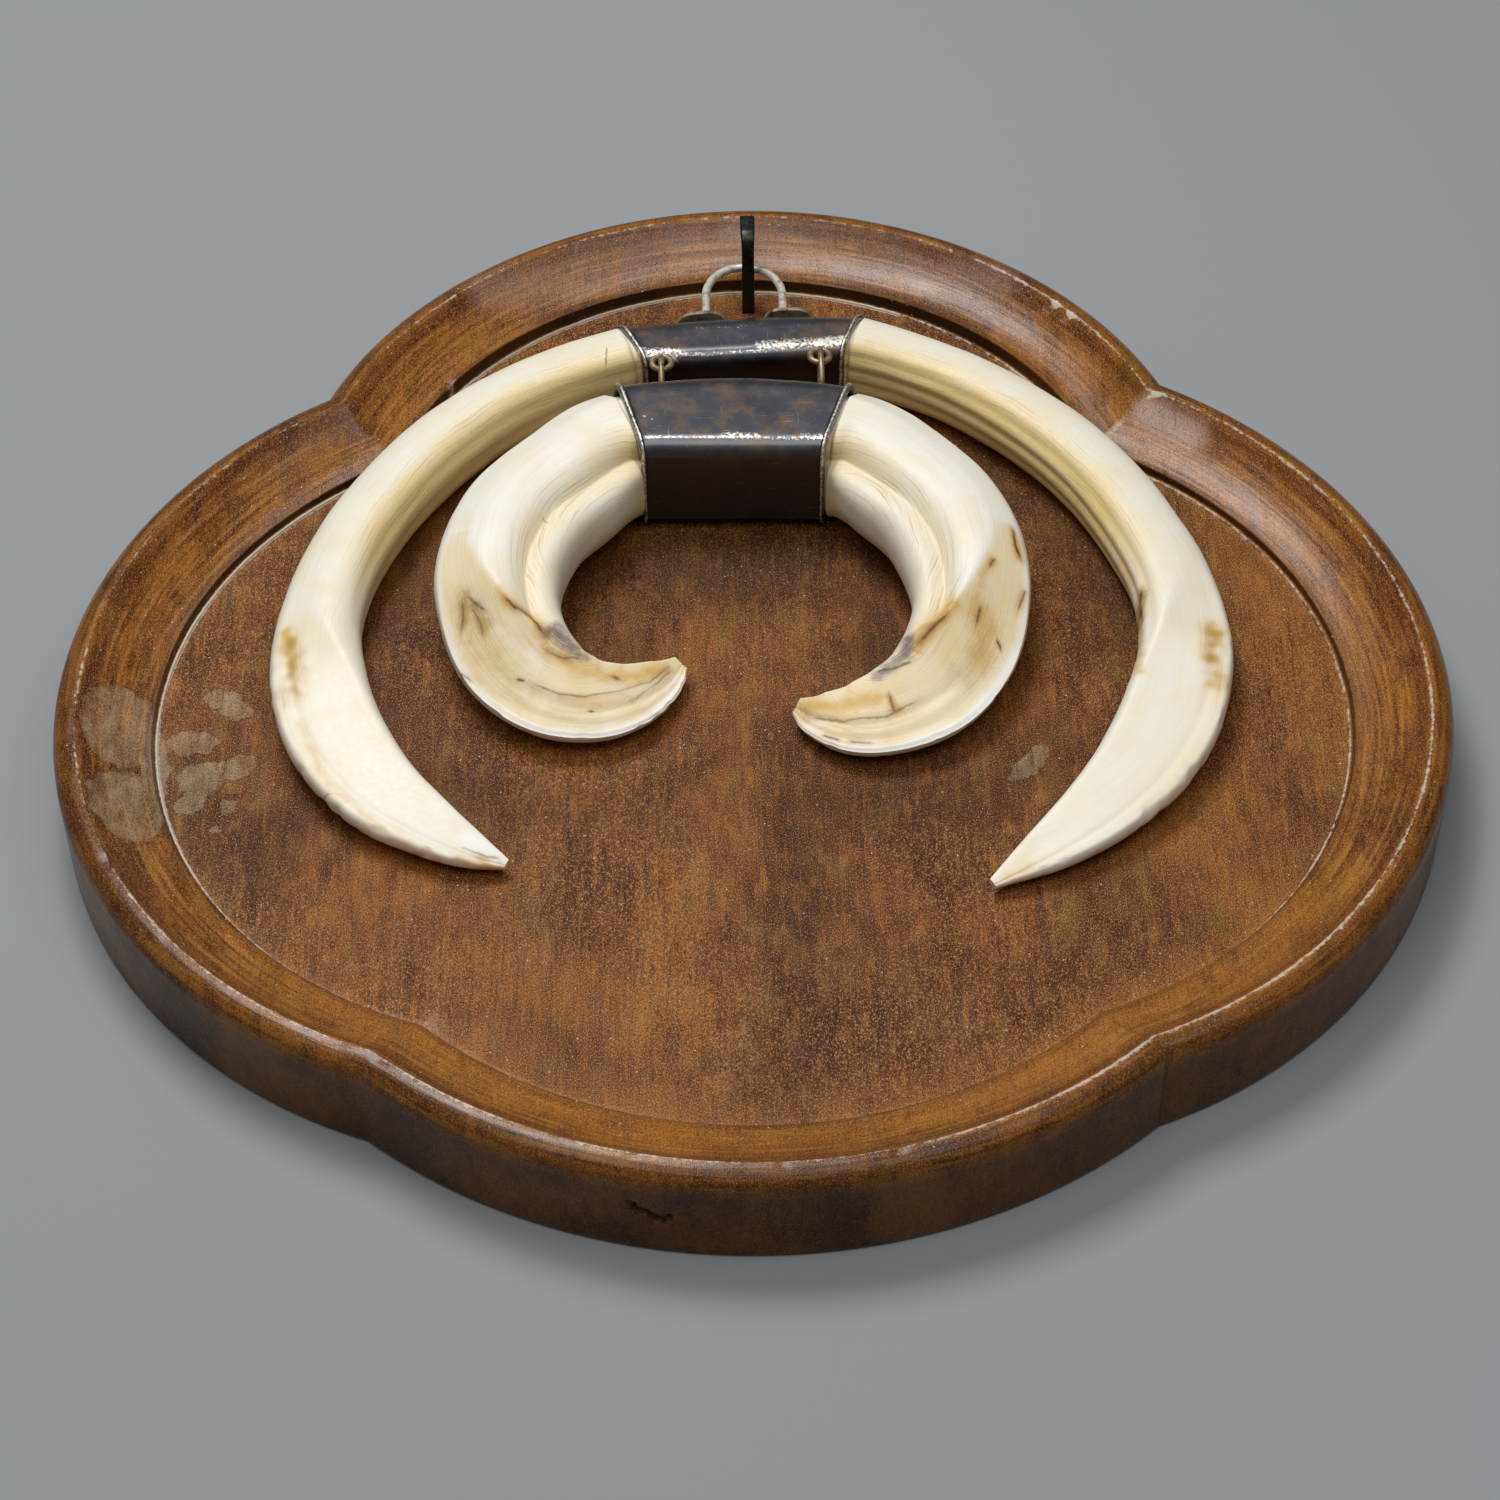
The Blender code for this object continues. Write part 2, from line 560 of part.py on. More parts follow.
def main():
    clear_scene()
    plaque = make_collection("boar tusk trophy plaque")
    cutters = make_collection("cutters")

    wood = make_material("stained hardwood", (0.18, 0.075, 0.03), 0.42)
    ivory = make_material("tusk ivory", (0.82, 0.74, 0.58), 0.32)
    iron = make_material("black iron", (0.02, 0.02, 0.022), 0.45, 1.0)
    black_silver = make_material("blackened silver", (0.09, 0.088, 0.09), 0.34, 1.0)
    silver = make_material("silver wire", (0.72, 0.7, 0.66), 0.22, 1.0)

    make_board(wood, plaque, cutters)
    make_hook(iron, plaque)
    outer_eyes = [(x, collar_front(OUTER_COLLAR, x, LINK_HEIGHT) - EYE_STAND) for x in LINKS_X]
    inner_eyes = [(x, collar_back(INNER_COLLAR, x) + EYE_STAND) for x in LINKS_X]
    make_collar("outer_collar", OUTER_COLLAR, outer_eyes, black_silver, plaque)
    inner_pair = [make_collar("inner_collar", INNER_COLLAR, inner_eyes, black_silver, plaque)]
    make_bail(silver, plaque)
    for name, (x, outer_y), (_, inner_y) in zip(("link_left", "link_right"), outer_eyes, inner_eyes):
        centre = (x, (outer_y + inner_y) / 2, LINK_HEIGHT)
        make_ring(name, centre, (outer_y - inner_y) / 2, LINK_WIRE, True, silver, plaque)

    tusks = [
        ("outer_tusk_left", OUTER_COLLAR, OUTER_LEFT, -1, outer_section),
        ("outer_tusk_right", OUTER_COLLAR, OUTER_RIGHT, 1, outer_section),
        ("inner_tusk_left", INNER_COLLAR, INNER_LEFT, -1, inner_section),
        ("inner_tusk_right", INNER_COLLAR, INNER_RIGHT, 1, inner_section),
    ]
    for name, collar, rows, side, section in tusks:
        tusk = make_tusk(name, root_rows(collar, side) + rows, side, section, ivory, plaque)
        if collar is INNER_COLLAR:
            inner_pair.append(tusk)
    hang_on_hinge(inner_eyes, inner_pair, plaque)


main()
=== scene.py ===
import math
from functools import partial

import bmesh
import bpy
import numpy as np
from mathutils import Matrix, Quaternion, Vector, noise


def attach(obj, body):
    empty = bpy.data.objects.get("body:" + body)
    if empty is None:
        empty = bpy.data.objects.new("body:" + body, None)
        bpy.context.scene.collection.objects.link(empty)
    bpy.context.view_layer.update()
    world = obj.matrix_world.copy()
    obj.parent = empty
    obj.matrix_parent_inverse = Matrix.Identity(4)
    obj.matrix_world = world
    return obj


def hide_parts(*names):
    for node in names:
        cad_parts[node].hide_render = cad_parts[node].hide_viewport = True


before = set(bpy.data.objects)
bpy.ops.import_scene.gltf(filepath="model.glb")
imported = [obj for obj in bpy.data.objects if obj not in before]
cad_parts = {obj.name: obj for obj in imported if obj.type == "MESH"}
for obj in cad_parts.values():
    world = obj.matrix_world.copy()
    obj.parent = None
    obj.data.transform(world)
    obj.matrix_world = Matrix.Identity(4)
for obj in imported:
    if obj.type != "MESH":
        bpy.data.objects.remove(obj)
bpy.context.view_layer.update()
mm = 0.001


# Small helpers

def toLinear(hexColour):
    # sRGB hex to the linear colour that the shaders use
    parts = [int(hexColour[i:i + 2], 16) / 255 for i in (0, 2, 4)]
    return (*[c / 12.92 if c <= 0.04045 else ((c + 0.055) / 1.055) ** 2.4 for c in parts], 1.0)


def addNode(tree, kind, inputs=None, out=0, **settings):
    # one node with its input values or links, its settings, and the output that is wanted
    node = tree.nodes.new("ShaderNode" + kind)
    for name, value in settings.items():
        setattr(node, name, value)
    for socket, value in (inputs or {}).items():
        if isinstance(value, bpy.types.NodeSocket):
            tree.links.new(value, node.inputs[socket])
        else:
            node.inputs[socket].default_value = value
    return node.outputs[out]


product = {"operation": "MULTIPLY", "use_clamp": True}


def newMaterial(name, values):
    # an empty material, addNode for its tree, and its Principled shader with its plain values set
    material = bpy.data.materials.new(name)
    material.use_nodes = True
    shader = material.node_tree.nodes["Principled BSDF"]
    for socket, value in values.items():
        shader.inputs[socket].default_value = value
    return material, partial(addNode, material.node_tree), shader


def plugIn(shader, sources):
    for socket, source in sources.items():
        shader.id_data.links.new(source, shader.inputs[socket])


def sizedNoises(add, place, patterns, roughness):
    # patterns by name: size of their cells in millimetres, turn in radians and detail
    noises = {}
    for name, (size, turn, detail) in patterns.items():
        scale = tuple(1 / (v * mm) for v in size)
        cells = add("Mapping", {"Vector": place, "Scale": scale, "Rotation": (0, 0, turn)})
        noises[name] = add("TexNoise", {"Vector": cells, "Scale": 1.0, "Detail": detail,
                                        "Roughness": roughness})
    return noises


def layeredColour(add, base, masks):
    # a base colour under coats of others, each through its mask
    colour = toLinear(base)
    for mask, coat in masks:
        colour = add("Mix", {0: mask, 6: colour, 7: toLinear(coat)}, 2, data_type="RGBA")
    return colour


def stackedBumps(add, layers):
    # bumps one over the other: what gives the height, strength, and depth in millimetres
    below = {}
    for height, strength, depth in layers:
        normal = add("Bump", {"Strength": strength, "Distance": depth * mm, "Height": height, **below})
        below = {"Normal": normal}
    return normal


def smoothStep(value, start, end):
    t = np.clip((value - start) / (end - start), 0.0, 1.0)
    return t * t * (3 - 2 * t)


def hump(value, centre, width):
    return np.exp(-((value - centre) / width) ** 2)


def turnedHump(angle, centre, width):
    # the same for an angle in degrees, which comes round again after 360
    off = (angle - centre + 180) % 360 - 180
    return np.exp(-(off / width) ** 2)


def roughNoise(points, size, offset=0.0):
    # smooth noise from -1 to 1 with features of about the given size, both in millimetres
    shift = Vector((offset, offset * 0.7, -offset))
    return np.array([noise.noise(Vector(p) / size + shift) for p in points])


def unevenness(points, layers):
    # noises added up: size, offset and depth of each in millimetres
    return sum(depth * roughNoise(points, size, offset) for size, offset, depth in layers)


def wandering(points, size):
    # a shift in the board's plane that makes drawn strokes less straight
    return np.column_stack([roughNoise(points, size, offset) for offset in (7.0, 8.0)])


def nearLine(points, path):
    # distance from a line drawn in the board's plane, with its sign by side, and the place along it, 0 to 1
    best, signed, place = (np.full(len(points), value) for value in (1e9, 1e9, 0.0))
    ends = path if len(path) > 1 else [path[0], (path[0][0] + 0.01, path[0][1])]
    lengths = [math.dist(a, b) for a, b in zip(ends, ends[1:])]
    done = 0.0
    for (ax, ay), (bx, by), length in zip(ends, ends[1:], lengths):
        ux, uy = (bx - ax) / length, (by - ay) / length
        dx, dy = points[:, 0] - ax, points[:, 1] - ay
        t = np.clip(dx * ux + dy * uy, 0, length)
        off = np.hypot(dx - t * ux, dy - t * uy)
        nearer = off < best
        best = np.where(nearer, off, best)
        signed = np.where(nearer, np.where(ux * dy - uy * dx < 0, -off, off), signed)
        place = np.where(nearer, (done + t) / sum(lengths), place)
        done += length
    return best, signed, place


def strokes(points, paths, power=3, widen=1.0):
    # 1 on drawn lines, with a flat middle and soft sides: path, half width and strength of each
    masks = [np.zeros(len(points))]
    for path, width, strength in paths:
        masks.append(strength * np.exp(-(nearLine(points, path)[0] / (width * widen)) ** power))
    return np.maximum.reduce(masks)


def skin(name, grid, material, body, replaces=(), attributes=None, closed=False, sharp=60):
    # one mesh piece over a grid of points in millimetres: rows of rings, capped unless the rows close
    rows, columns = grid.shape[:2]
    points = grid.reshape(-1, 3)
    index = np.arange(rows * columns).reshape(rows, columns)
    last = rows if closed else rows - 1
    near, far = index[:last], np.roll(index, -1, axis=0)[:last]
    quads = np.stack([near, np.roll(near, -1, axis=1), np.roll(far, -1, axis=1), far], axis=-1).reshape(-1, 4)
    faces = quads.tolist()
    if not closed:
        faces += [index[0][::-1].tolist(), index[-1].tolist()]
    mesh = bpy.data.meshes.new(name)
    mesh.from_pydata((points * mm).tolist(), [], faces)
    shape = bmesh.new()
    shape.from_mesh(mesh)
    bmesh.ops.recalc_face_normals(shape, faces=shape.faces)
    shape.to_mesh(mesh)
    shape.free()
    for key, values in (attributes or {}).items():
        data = mesh.attributes.new(key, "FLOAT", "POINT")
        data.data.foreach_set("value", np.asarray(values, np.float32).ravel())
    mesh.shade_smooth()
    mesh.set_sharp_from_angle(angle=math.radians(sharp))
    mesh.materials.append(material)
    piece = bpy.data.objects.new(name, mesh)
    bpy.context.scene.collection.objects.link(piece)
    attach(piece, body)
    if replaces:
        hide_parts(*replaces)


# Camera and floor

cameraPlace = {
    "lens": 84.0, "sensor": 36.0,
    "target": (-0.87, -14.28, 0.0),
    "azimuth": -0.688,
    "elevation": 47.371,
    "distance": 821.37,
    "roll": -0.547,
}


def makeCamera():
    place = cameraPlace
    a, e = math.radians(place["azimuth"]), math.radians(place["elevation"])
    back = Vector((math.sin(a) * math.cos(e), -math.cos(a) * math.cos(e), math.sin(e)))
    data = bpy.data.cameras.new("camera")
    data.lens = place["lens"]
    data.sensor_width = place["sensor"]
    camera = bpy.data.objects.new("camera", data)
    bpy.context.scene.collection.objects.link(camera)
    camera.location = (Vector(place["target"]) + back * place["distance"]) * mm
    camera.rotation_mode = "QUATERNION"
    roll = Quaternion((0, 0, 1), math.radians(place["roll"]))
    camera.rotation_quaternion = (-back).to_track_quat("-Z", "Y") @ roll
    bpy.context.scene.camera = camera


studio = {
    "floorColour": "96999B",
    "floorSize": 9.0,
    "floorLevel": -0.0003,      # a little under the board's back, so that the two faces don't meet
    "worldColour": "C4C8CC",
    "worldStrength": 0.18,
    # name: place and target in metres, width and depth in metres, watts
    "lamps": {
        "overheadBox": ((-0.25, 0.4, 1.1), (0, 0, 0), (0.5, 0.42), 9.0),
        "frontBox": ((0.05, -0.35, 1.15), (0, 0, 0), (1.3, 0.6), 6.2),
    },
}


def makeStudio():
    bpy.ops.mesh.primitive_plane_add(size=studio["floorSize"], location=(0, 0, studio["floorLevel"]))
    floor = bpy.context.object
    floor.name = "floor"
    paint = {"Base Color": toLinear(studio["floorColour"]), "Roughness": 0.85, "Specular IOR Level": 0.2}
    floor.data.materials.append(newMaterial("painted studio floor", paint)[0])
    world = bpy.data.worlds.new("studio")
    world.use_nodes = True
    background = world.node_tree.nodes["Background"]
    background.inputs["Color"].default_value = toLinear(studio["worldColour"])
    background.inputs["Strength"].default_value = studio["worldStrength"]
    bpy.context.scene.world = world
    for name, (place, target, size, watts) in studio["lamps"].items():
        data = bpy.data.lights.new(name, "AREA")
        data.shape = "RECTANGLE"
        data.size, data.size_y = size
        data.energy = watts
        lamp = bpy.data.objects.new(name, data)
        bpy.context.scene.collection.objects.link(lamp)
        lamp.location = place
        lamp.rotation_euler = (Vector(target) - Vector(place)).to_track_quat("-Z", "Y").to_euler()
    bpy.context.scene.view_settings.view_transform = "Standard"


makeCamera()
makeStudio()
print("camera and studio ready")


# Stained hardwood: a plain close-grained board, brushed with brown stain and waxed.
# The eye sees a fine sandy speckle, clouds of orange, olive and dark brown, streaks that follow the
# cutter along the moulding, a wax shine on its crest, a duller field, and dry pale wood where the wax
# is rubbed off. Painted shade darkens the drop, the outer wall and the field under the collars and between
# the tusks, and painted highlights lie on the crest and the cove

wood = {
    "stain": "6F3E17",
    "orange": "AB6A24",
    # painted shade at the steep inner foot of the crest, where the cove falls away from it
    "redEdgeShade": "451A0C",
    "dark": "1E1008",
    "rubbedAndLit": "D2C6B2",
    "bare": "A09279",
    "speck": "DCD0BC",
    # colour of the painted highlights on the moulding
    "sheen": "C6B0A6",
    "roughness": (0.27, 0.6),       # of the waxed moulding and of the field
    "glossSpread": 0.3,             # how much the roughness changes from place to place
    "coat": (0.35, 0.6, 0.4),       # haze values between which the wax shine comes up, and its most
    "waxEnd": (24.5, 21.5),         # insets between which the wax of the moulding begins
    # sizes in millimetres across and along the grain and upright, turn, and detail. Real pores are 0.1 mm
    # wide: the sand is drawn at 0.26 mm so that it shows
    "patterns": {
        "sand": ((0.26, 0.42, 0.35), 0, 0),
        "grain": ((0.6, 13, 3), 0, 4),
        "figure": ((9, 75, 30), 0, 4),
        "cloud": ((30, 42, 40), 0, 5),
        "haze": ((9, 19, 13), 0, 6),
        "blot": ((3, 8, 5), 0, 5),
        "crumb": ((1.3, 1.3, 1.3), 0, 5),
        "few": ((7, 8, 8), 0, 3),
    },
    "patternRoughness": 0.62,
    "cutterSize": (1.1, 30),        # of the cutter's streaks, across and along the moulding
    "mouldingTint": 0.55,
    # layers over the stain: pattern, noise values from which and to which it grows, strength, colour
    "broadLayers": [
        ("cloud", 0.49, 0.61, 0.66, "3B1D0E"), ("cloud", 0.47, 0.36, 0.5, "A0621C"),
        ("haze", 0.52, 0.64, 0.6, "42200E"), ("haze", 0.47, 0.36, 0.42, "83641F"),
        ("figure", 0.52, 0.66, 0.5, "3C1D0B"), ("blot", 0.54, 0.68, 0.42, "36190B"),
        ("blot", 0.45, 0.33, 0.4, "AD6F26"),
    ],
    "cutterLayers": [(0.52, 0.66, 0.75, "4A2611"), (0.46, 0.36, 0.5, "B57F3B")],
    "fineLayers": [
        ("grain", 0.53, 0.7, 0.55, "2C170C"), ("grain", 0.46, 0.3, 0.35, "AB7238"),
        ("sand", 0.45, 0.2, 0.72, "C98F52"), ("sand", 0.55, 0.8, 0.85, "150903"),
    ],
    "waxFill": 0.75,                # how much of the fine layers is left under the wax
    "rubbing": (0.9, 1.12, 0.85),
    # dust in the grain: spacing and size, the pattern that gathers it and its values from and to
    "specks": [(2.4, 0.1, "few", 0.5, 0.58), (1.4, 0.12, "haze", 0.54, 0.62)],
    "speckStrength": 0.8,
    # bumps: pattern, strength, depth in millimetres
    "bumps": [("sand", 0.3, 0.08), ("crumb", 0.3, 0.2), ("cutting", 0.5, 0.35)],
    "ragged": (3.5, 5.0),           # size of the bays in a bare spot's border, and how deep they go
    # where a bare spot begins and is full, as shares of its half sizes, and its most
    "spotEdge": (1.06, 0.9, 0.72),
    "spotMottle": (0.34, 0.62, 0.3),
    "spotBorder": (0.05, 0.35),     # half width and strength of the dark line round it
    # pale places where the finish is gone: middle, half sizes and turn in degrees
    "bareSpots": [
        ((-145, -21), (8.5, 12.5), 6), ((-141, -45.5), (8, 11.5), 14), ((-136.5, -30), (3, 11), 4),
        ((-123.6, -7.7), (4.6, 3.2), -4), ((-119.6, -11.6), (3.6, 2.6), -30), ((-129, -21.8), (6.4, 3.8), -4),
        ((-126, -33), (6, 5), 20), ((-118.8, -29.5), (5, 3.2), 20), ((-128, -40.5), (4.4, 3), 30),
        ((-119.5, -42), (1.6, 2.6), -25), ((-121.5, -49), (1.8, 1.4), 0), ((62.8, -32.8), (2.6, 6.6), -38),
    ],
}


def bareMasks(add, place, mottle):
    # ellipses on the board's plane with ragged borders, and the darker line round them
    size, push = wood["ragged"]
    ragged = add("TexNoise", {"Vector": place, "Scale": 1 / (size * mm), "Detail": 5.0}, "Color")
    pushed = add("VectorMath", {0: ragged, 1: (push * mm, push * mm, 0), 2: place}, operation="MULTIPLY_ADD")
    back = push / 2 * mm
    centred = add("VectorMath", {0: pushed, 1: (back, back, 0)}, operation="SUBTRACT")
    nearest = 9.0
    for (x, y), (halfX, halfY), turn in wood["bareSpots"]:
        spot = add("Mapping", {"Vector": centred, "Location": (x * mm, y * mm, 0),
                               "Rotation": (0, 0, math.radians(turn)),
                               "Scale": (halfX * mm, halfY * mm, 10.0)},
                   vector_type="TEXTURE")
        reach = add("VectorMath", {0: spot}, "Value", operation="LENGTH")
        nearest = add("Math", {0: reach, 1: nearest}, operation="MINIMUM")
    outside, full, most = wood["spotEdge"]
    inside = add("MapRange", {0: nearest, 1: outside, 2: full, 4: most})
    low, high, least = wood["spotMottle"]
    mottled = add("MapRange", {0: mottle, 1: low, 2: high, 3: 1.0, 4: least})
    halfWidth, strength = wood["spotBorder"]
    border = add("Math", {0: nearest, 1: outside, 2: halfWidth}, operation="COMPARE")
    return (add("Math", {0: inside, 1: mottled}, operation="MULTIPLY"),
            add("Math", {0: border, 1: strength}, operation="MULTIPLY"))


def stainedHardwood():
    material, add, shader = newMaterial("stained waxed hardwood", {
        "IOR": 1.5, "Specular IOR Level": 0.22, "Coat Roughness": 0.27, "Coat IOR": 1.5})
    place = add("TexCoord", out="Object")
    names = ("inset", "around", "worn", "shadeAndWormMarks", "redEdgeShade", "sheen", "warm")
    inset, around, worn, shadeAndWormMarks, redEdgeShade, sheen, warm = [
        add("Attribute", out="Fac", attribute_name=name) for name in names]
    noises = sizedNoises(add, place, wood["patterns"], wood["patternRoughness"])
    unrolled = add("CombineXYZ", {0: inset, 1: around})
    across, along = wood["cutterSize"]
    tooled = add("Mapping", {"Vector": unrolled, "Scale": (1 / across, 1 / along, 1.0)})
    tooling = add("TexNoise", {"Vector": tooled, "Scale": 1.0, "Detail": 4.0})
    waxStart, waxFull = wood["waxEnd"]
    onMoulding = add("MapRange", {0: inset, 1: waxStart, 2: waxFull})
    masks = [(add("Math", {0: onMoulding, 1: wood["mouldingTint"]}, **product), wood["orange"])]
    for name, low, high, strength, layer in wood["broadLayers"]:
        masks.append((add("MapRange", {0: noises[name], 1: low, 2: high, 4: strength}), layer))
    for low, high, strength, layer in wood["cutterLayers"]:
        streaks = add("MapRange", {0: tooling, 1: low, 2: high, 4: strength})
        masks.append((add("Math", {0: streaks, 1: onMoulding}, **product), layer))
    bare, border = bareMasks(add, place, noises["blot"])
    # the sheen paints highlights on the moulding, and the red edge paints shade at the inner foot of the
    # crest
    masks += [(warm, wood["orange"]), (redEdgeShade, wood["redEdgeShade"]), (sheen, wood["sheen"]),
              (bare, wood["bare"]), (border, wood["dark"])]
    # the wax fills some of the grain and sand on the moulding
    filled = add("MapRange", {0: onMoulding, 3: 1.0, 4: wood["waxFill"]})
    for name, low, high, strength, layer in wood["fineLayers"]:
        fine = add("MapRange", {0: noises[name], 1: low, 2: high, 4: strength})
        masks.append((add("Math", {0: fine, 1: filled}, **product), layer))
    # painted shade and painted shadows darken the wood, and the worm tracks are dark too
    masks.append((shadeAndWormMarks, wood["dark"]))
    # edges rubbed pale, with a painted highlight along the crest, and dust caught in the grain
    rubbing = add("Math", {0: worn, 1: noises["crumb"]}, operation="ADD")
    low, high, strength = wood["rubbing"]
    masks.append((add("MapRange", {0: rubbing, 1: low, 2: high, 4: strength}), wood["rubbedAndLit"]))
    insideEdge = add("MapRange", {0: inset, 1: 1.0, 2: 4.0})
    for cell, size, source, low, high in wood["specks"]:
        cells = add("TexVoronoi", {"Vector": place, "Scale": 1 / (cell * mm)}, "Distance")
        dots = add("MapRange", {0: cells, 1: size, 2: size * 0.5, 4: wood["speckStrength"]})
        gathered = add("MapRange", {0: noises[source], 1: low, 2: high})
        dusty = add("Math", {0: gathered, 1: insideEdge}, **product)
        masks.append((add("Math", {0: dots, 1: dusty}, **product), wood["speck"]))
    waxed, dry = wood["roughness"]
    wax = add("MapRange", {0: onMoulding, 3: dry, 4: waxed})
    spread = wood["glossSpread"]
    uneven = add("Math", {0: noises["haze"], 1: spread, 2: -spread / 2}, operation="MULTIPLY_ADD")
    # the wax shines on the moulding, not on its outer edge, and in patches
    pastEdge = add("MapRange", {0: inset, 1: 1.5, 2: 4.5})
    polish = add("Math", {0: onMoulding, 1: pastEdge}, **product)
    low, high, most = wood["coat"]
    patches = add("MapRange", {0: noises["haze"], 1: low, 2: high, 4: most})
    noises["cutting"] = add("Math", {0: tooling, 1: onMoulding}, **product)
    plugIn(shader, {
        "Base Color": layeredColour(add, wood["stain"], masks),
        "Roughness": add("Math", {0: wax, 1: uneven}, operation="ADD"),
        "Coat Weight": add("Math", {0: polish, 1: patches}, **product),
        "Normal": stackedBumps(add, [(noises[name], *bump) for name, *bump in wood["bumps"]]),
    })
    return material


board = {
    "halfWidth": 160, "halfLength": 156.9,
    "topRadius": 111.2, "sideRadius": 118.3, "lowRadius": 129.9, "sideLevel": -15.4,
    "thickness": 25.7, "edgeRadius": 4.5, "backRadius": 0.8,
    "coveStart": 5.4, "coveEnd": 21.7, "lipHeight": 18,
    "stepHeight": 14.7, "stepWidth": 1, "draft": 0.2, "field": 14,
    "sideDrop": 1.7, "dropFade": (50, 100),     # the lip sinks to this drop in the side lobes
    "lobePoints": 200, "wallRows": 34, "edgeRows": 9, "coveRows": 20, "fieldRings": 24,
    # unevenness: size and offset of the noise, and depth
    "wave": (38, 0, 0.14), "crestDents": (5, 3.1, 0.7), "ledgeDents": (2, 9.7, 0.5),
    "dentFrom": 0.3, "patchSize": (16, 5), "wanderSize": 9,
    "crestInset": 5, "rubInset": 5.3, "redInset": 7.4,
    "nickDepth": 0.7, "wormWidth": 0.7, "wormDepth": 1.1,
    "nicks": [((-74.1, 95.6), 1.8), ((79.1, 114.8), 1.6), ((82.9, 110.6), 1.6), ((1.4, 126), 2.6)],
    # paths, half width and strength of the painted shadows on the wood (under the collars, between and beside
    # the tusks, beside the right mitre), of what warms it, and of the painted sheens on it
    "paintedShadows": [([(-36, 34), (0, 37), (36, 34)], 17, 0.5), ([(-30, 60), (34, 62)], 12, 0.55),
              ([(-60, 66), (-80, 42), (-87, 12)], 10, 0.4), ([(58, 70), (76, 50), (86, 14)], 11, 0.5),
              ([(-36, 20), (-34, 2)], 11, 0.35), ([(30, 20), (30, 0)], 11, 0.35),
              ([(9, -34), (10.5, -78), (8, -122)], 6, 0.18), ([(-101, -46), (-112, -60)], 9, 0.3),
              ([(-72, -36), (-58, -44), (-30, -44)], 9, 0.3), ([(64, -34), (50, -44), (22, -44)], 9, 0.3),
              ([(84, 82), (95, 86)], 6, 0.3)],
    "warmth": [([(-92, -98), (-58, -124), (0, -140), (58, -124), (92, -98)], 9, 0.5),
               ([(94.9, -54), (113.2, -84.3), (100.7, -112.1)], 9, 0.5),
               ([(-64, -108.5), (-58, -112)], 2.2, 0.7), ([(-60, -90), (-20, -104)], 12, 0.3),
               ([(120, 30), (134, -30)], 10, 0.3)],
    # the sheens are painted highlights where the wax reflects the lamps: beside the right mitre, at the lower
    # left notch and along the far cove
    "sheens": [([(99.2, 76.8), (110, 68)], 3.4, 0.6), ([(-71.5, -104.6), (-66, -107.4)], 1.6, 0.4),
               ([(-66, 126), (0, 146), (66, 126)], 5, 0.22)],
    "wormTracks": [[(-27.9, 15.6), (-27.4, 14), (-26.2, 13.7), (-26, 12.6), (-24.9, 13.1)],
                   [(-24.6, 12.9), (-23.4, 12.2), (-23.2, 10.9), (-21.9, 11.3), (-21.2, 10.1), (-20.3, 11.7),
                    (-20.5, 12.6)]],
    "rubs": [([(98.4, 79.6), (102.6, 79.4)], 0.8, 0.6), ([(98.4, 80.6), (95.6, 76), (92.6, 70.2)], 0.6, 0.3)],
}


def boardOutline(inset):
    # four arcs, moved in by inset, that meet in the notches between the lobes
    b = board
    lobes = [
        ((b["halfWidth"] - b["sideRadius"], b["sideLevel"]), b["sideRadius"] - inset),
        ((0.0, b["halfLength"] - b["topRadius"]), b["topRadius"] - inset),
        ((b["sideRadius"] - b["halfWidth"], b["sideLevel"]), b["sideRadius"] - inset),
        ((0.0, b["lowRadius"] - b["halfLength"]), b["lowRadius"] - inset),
    ]
    corners = []
    for i in range(4):
        (ax, ay), ra = lobes[i - 1]
        (bx, by), rb = lobes[i]
        span = math.hypot(bx - ax, by - ay)
        along = (ra * ra - rb * rb + span * span) / (2 * span)
        away = math.sqrt(ra * ra - along * along)
        ux, uy = (bx - ax) / span, (by - ay) / span
        ends = [(ax + along * ux - s * away * uy, ay + along * uy + s * away * ux) for s in (-1, 1)]
        corners.append(max(ends, key=lambda p: math.hypot(*p)))
    points = []
    for i, ((cx, cy), radius) in enumerate(lobes):
        start, end = corners[i], corners[(i + 1) % 4]
        first = math.atan2(start[1] - cy, start[0] - cx)
        sweep = (math.atan2(end[1] - cy, end[0] - cx) - first) % (2 * math.pi)
        angles = first + sweep * np.arange(b["lobePoints"]) / b["lobePoints"]
        points += [(cx + radius * math.cos(a), cy + radius * math.sin(a)) for a in angles]
    return np.array(points)


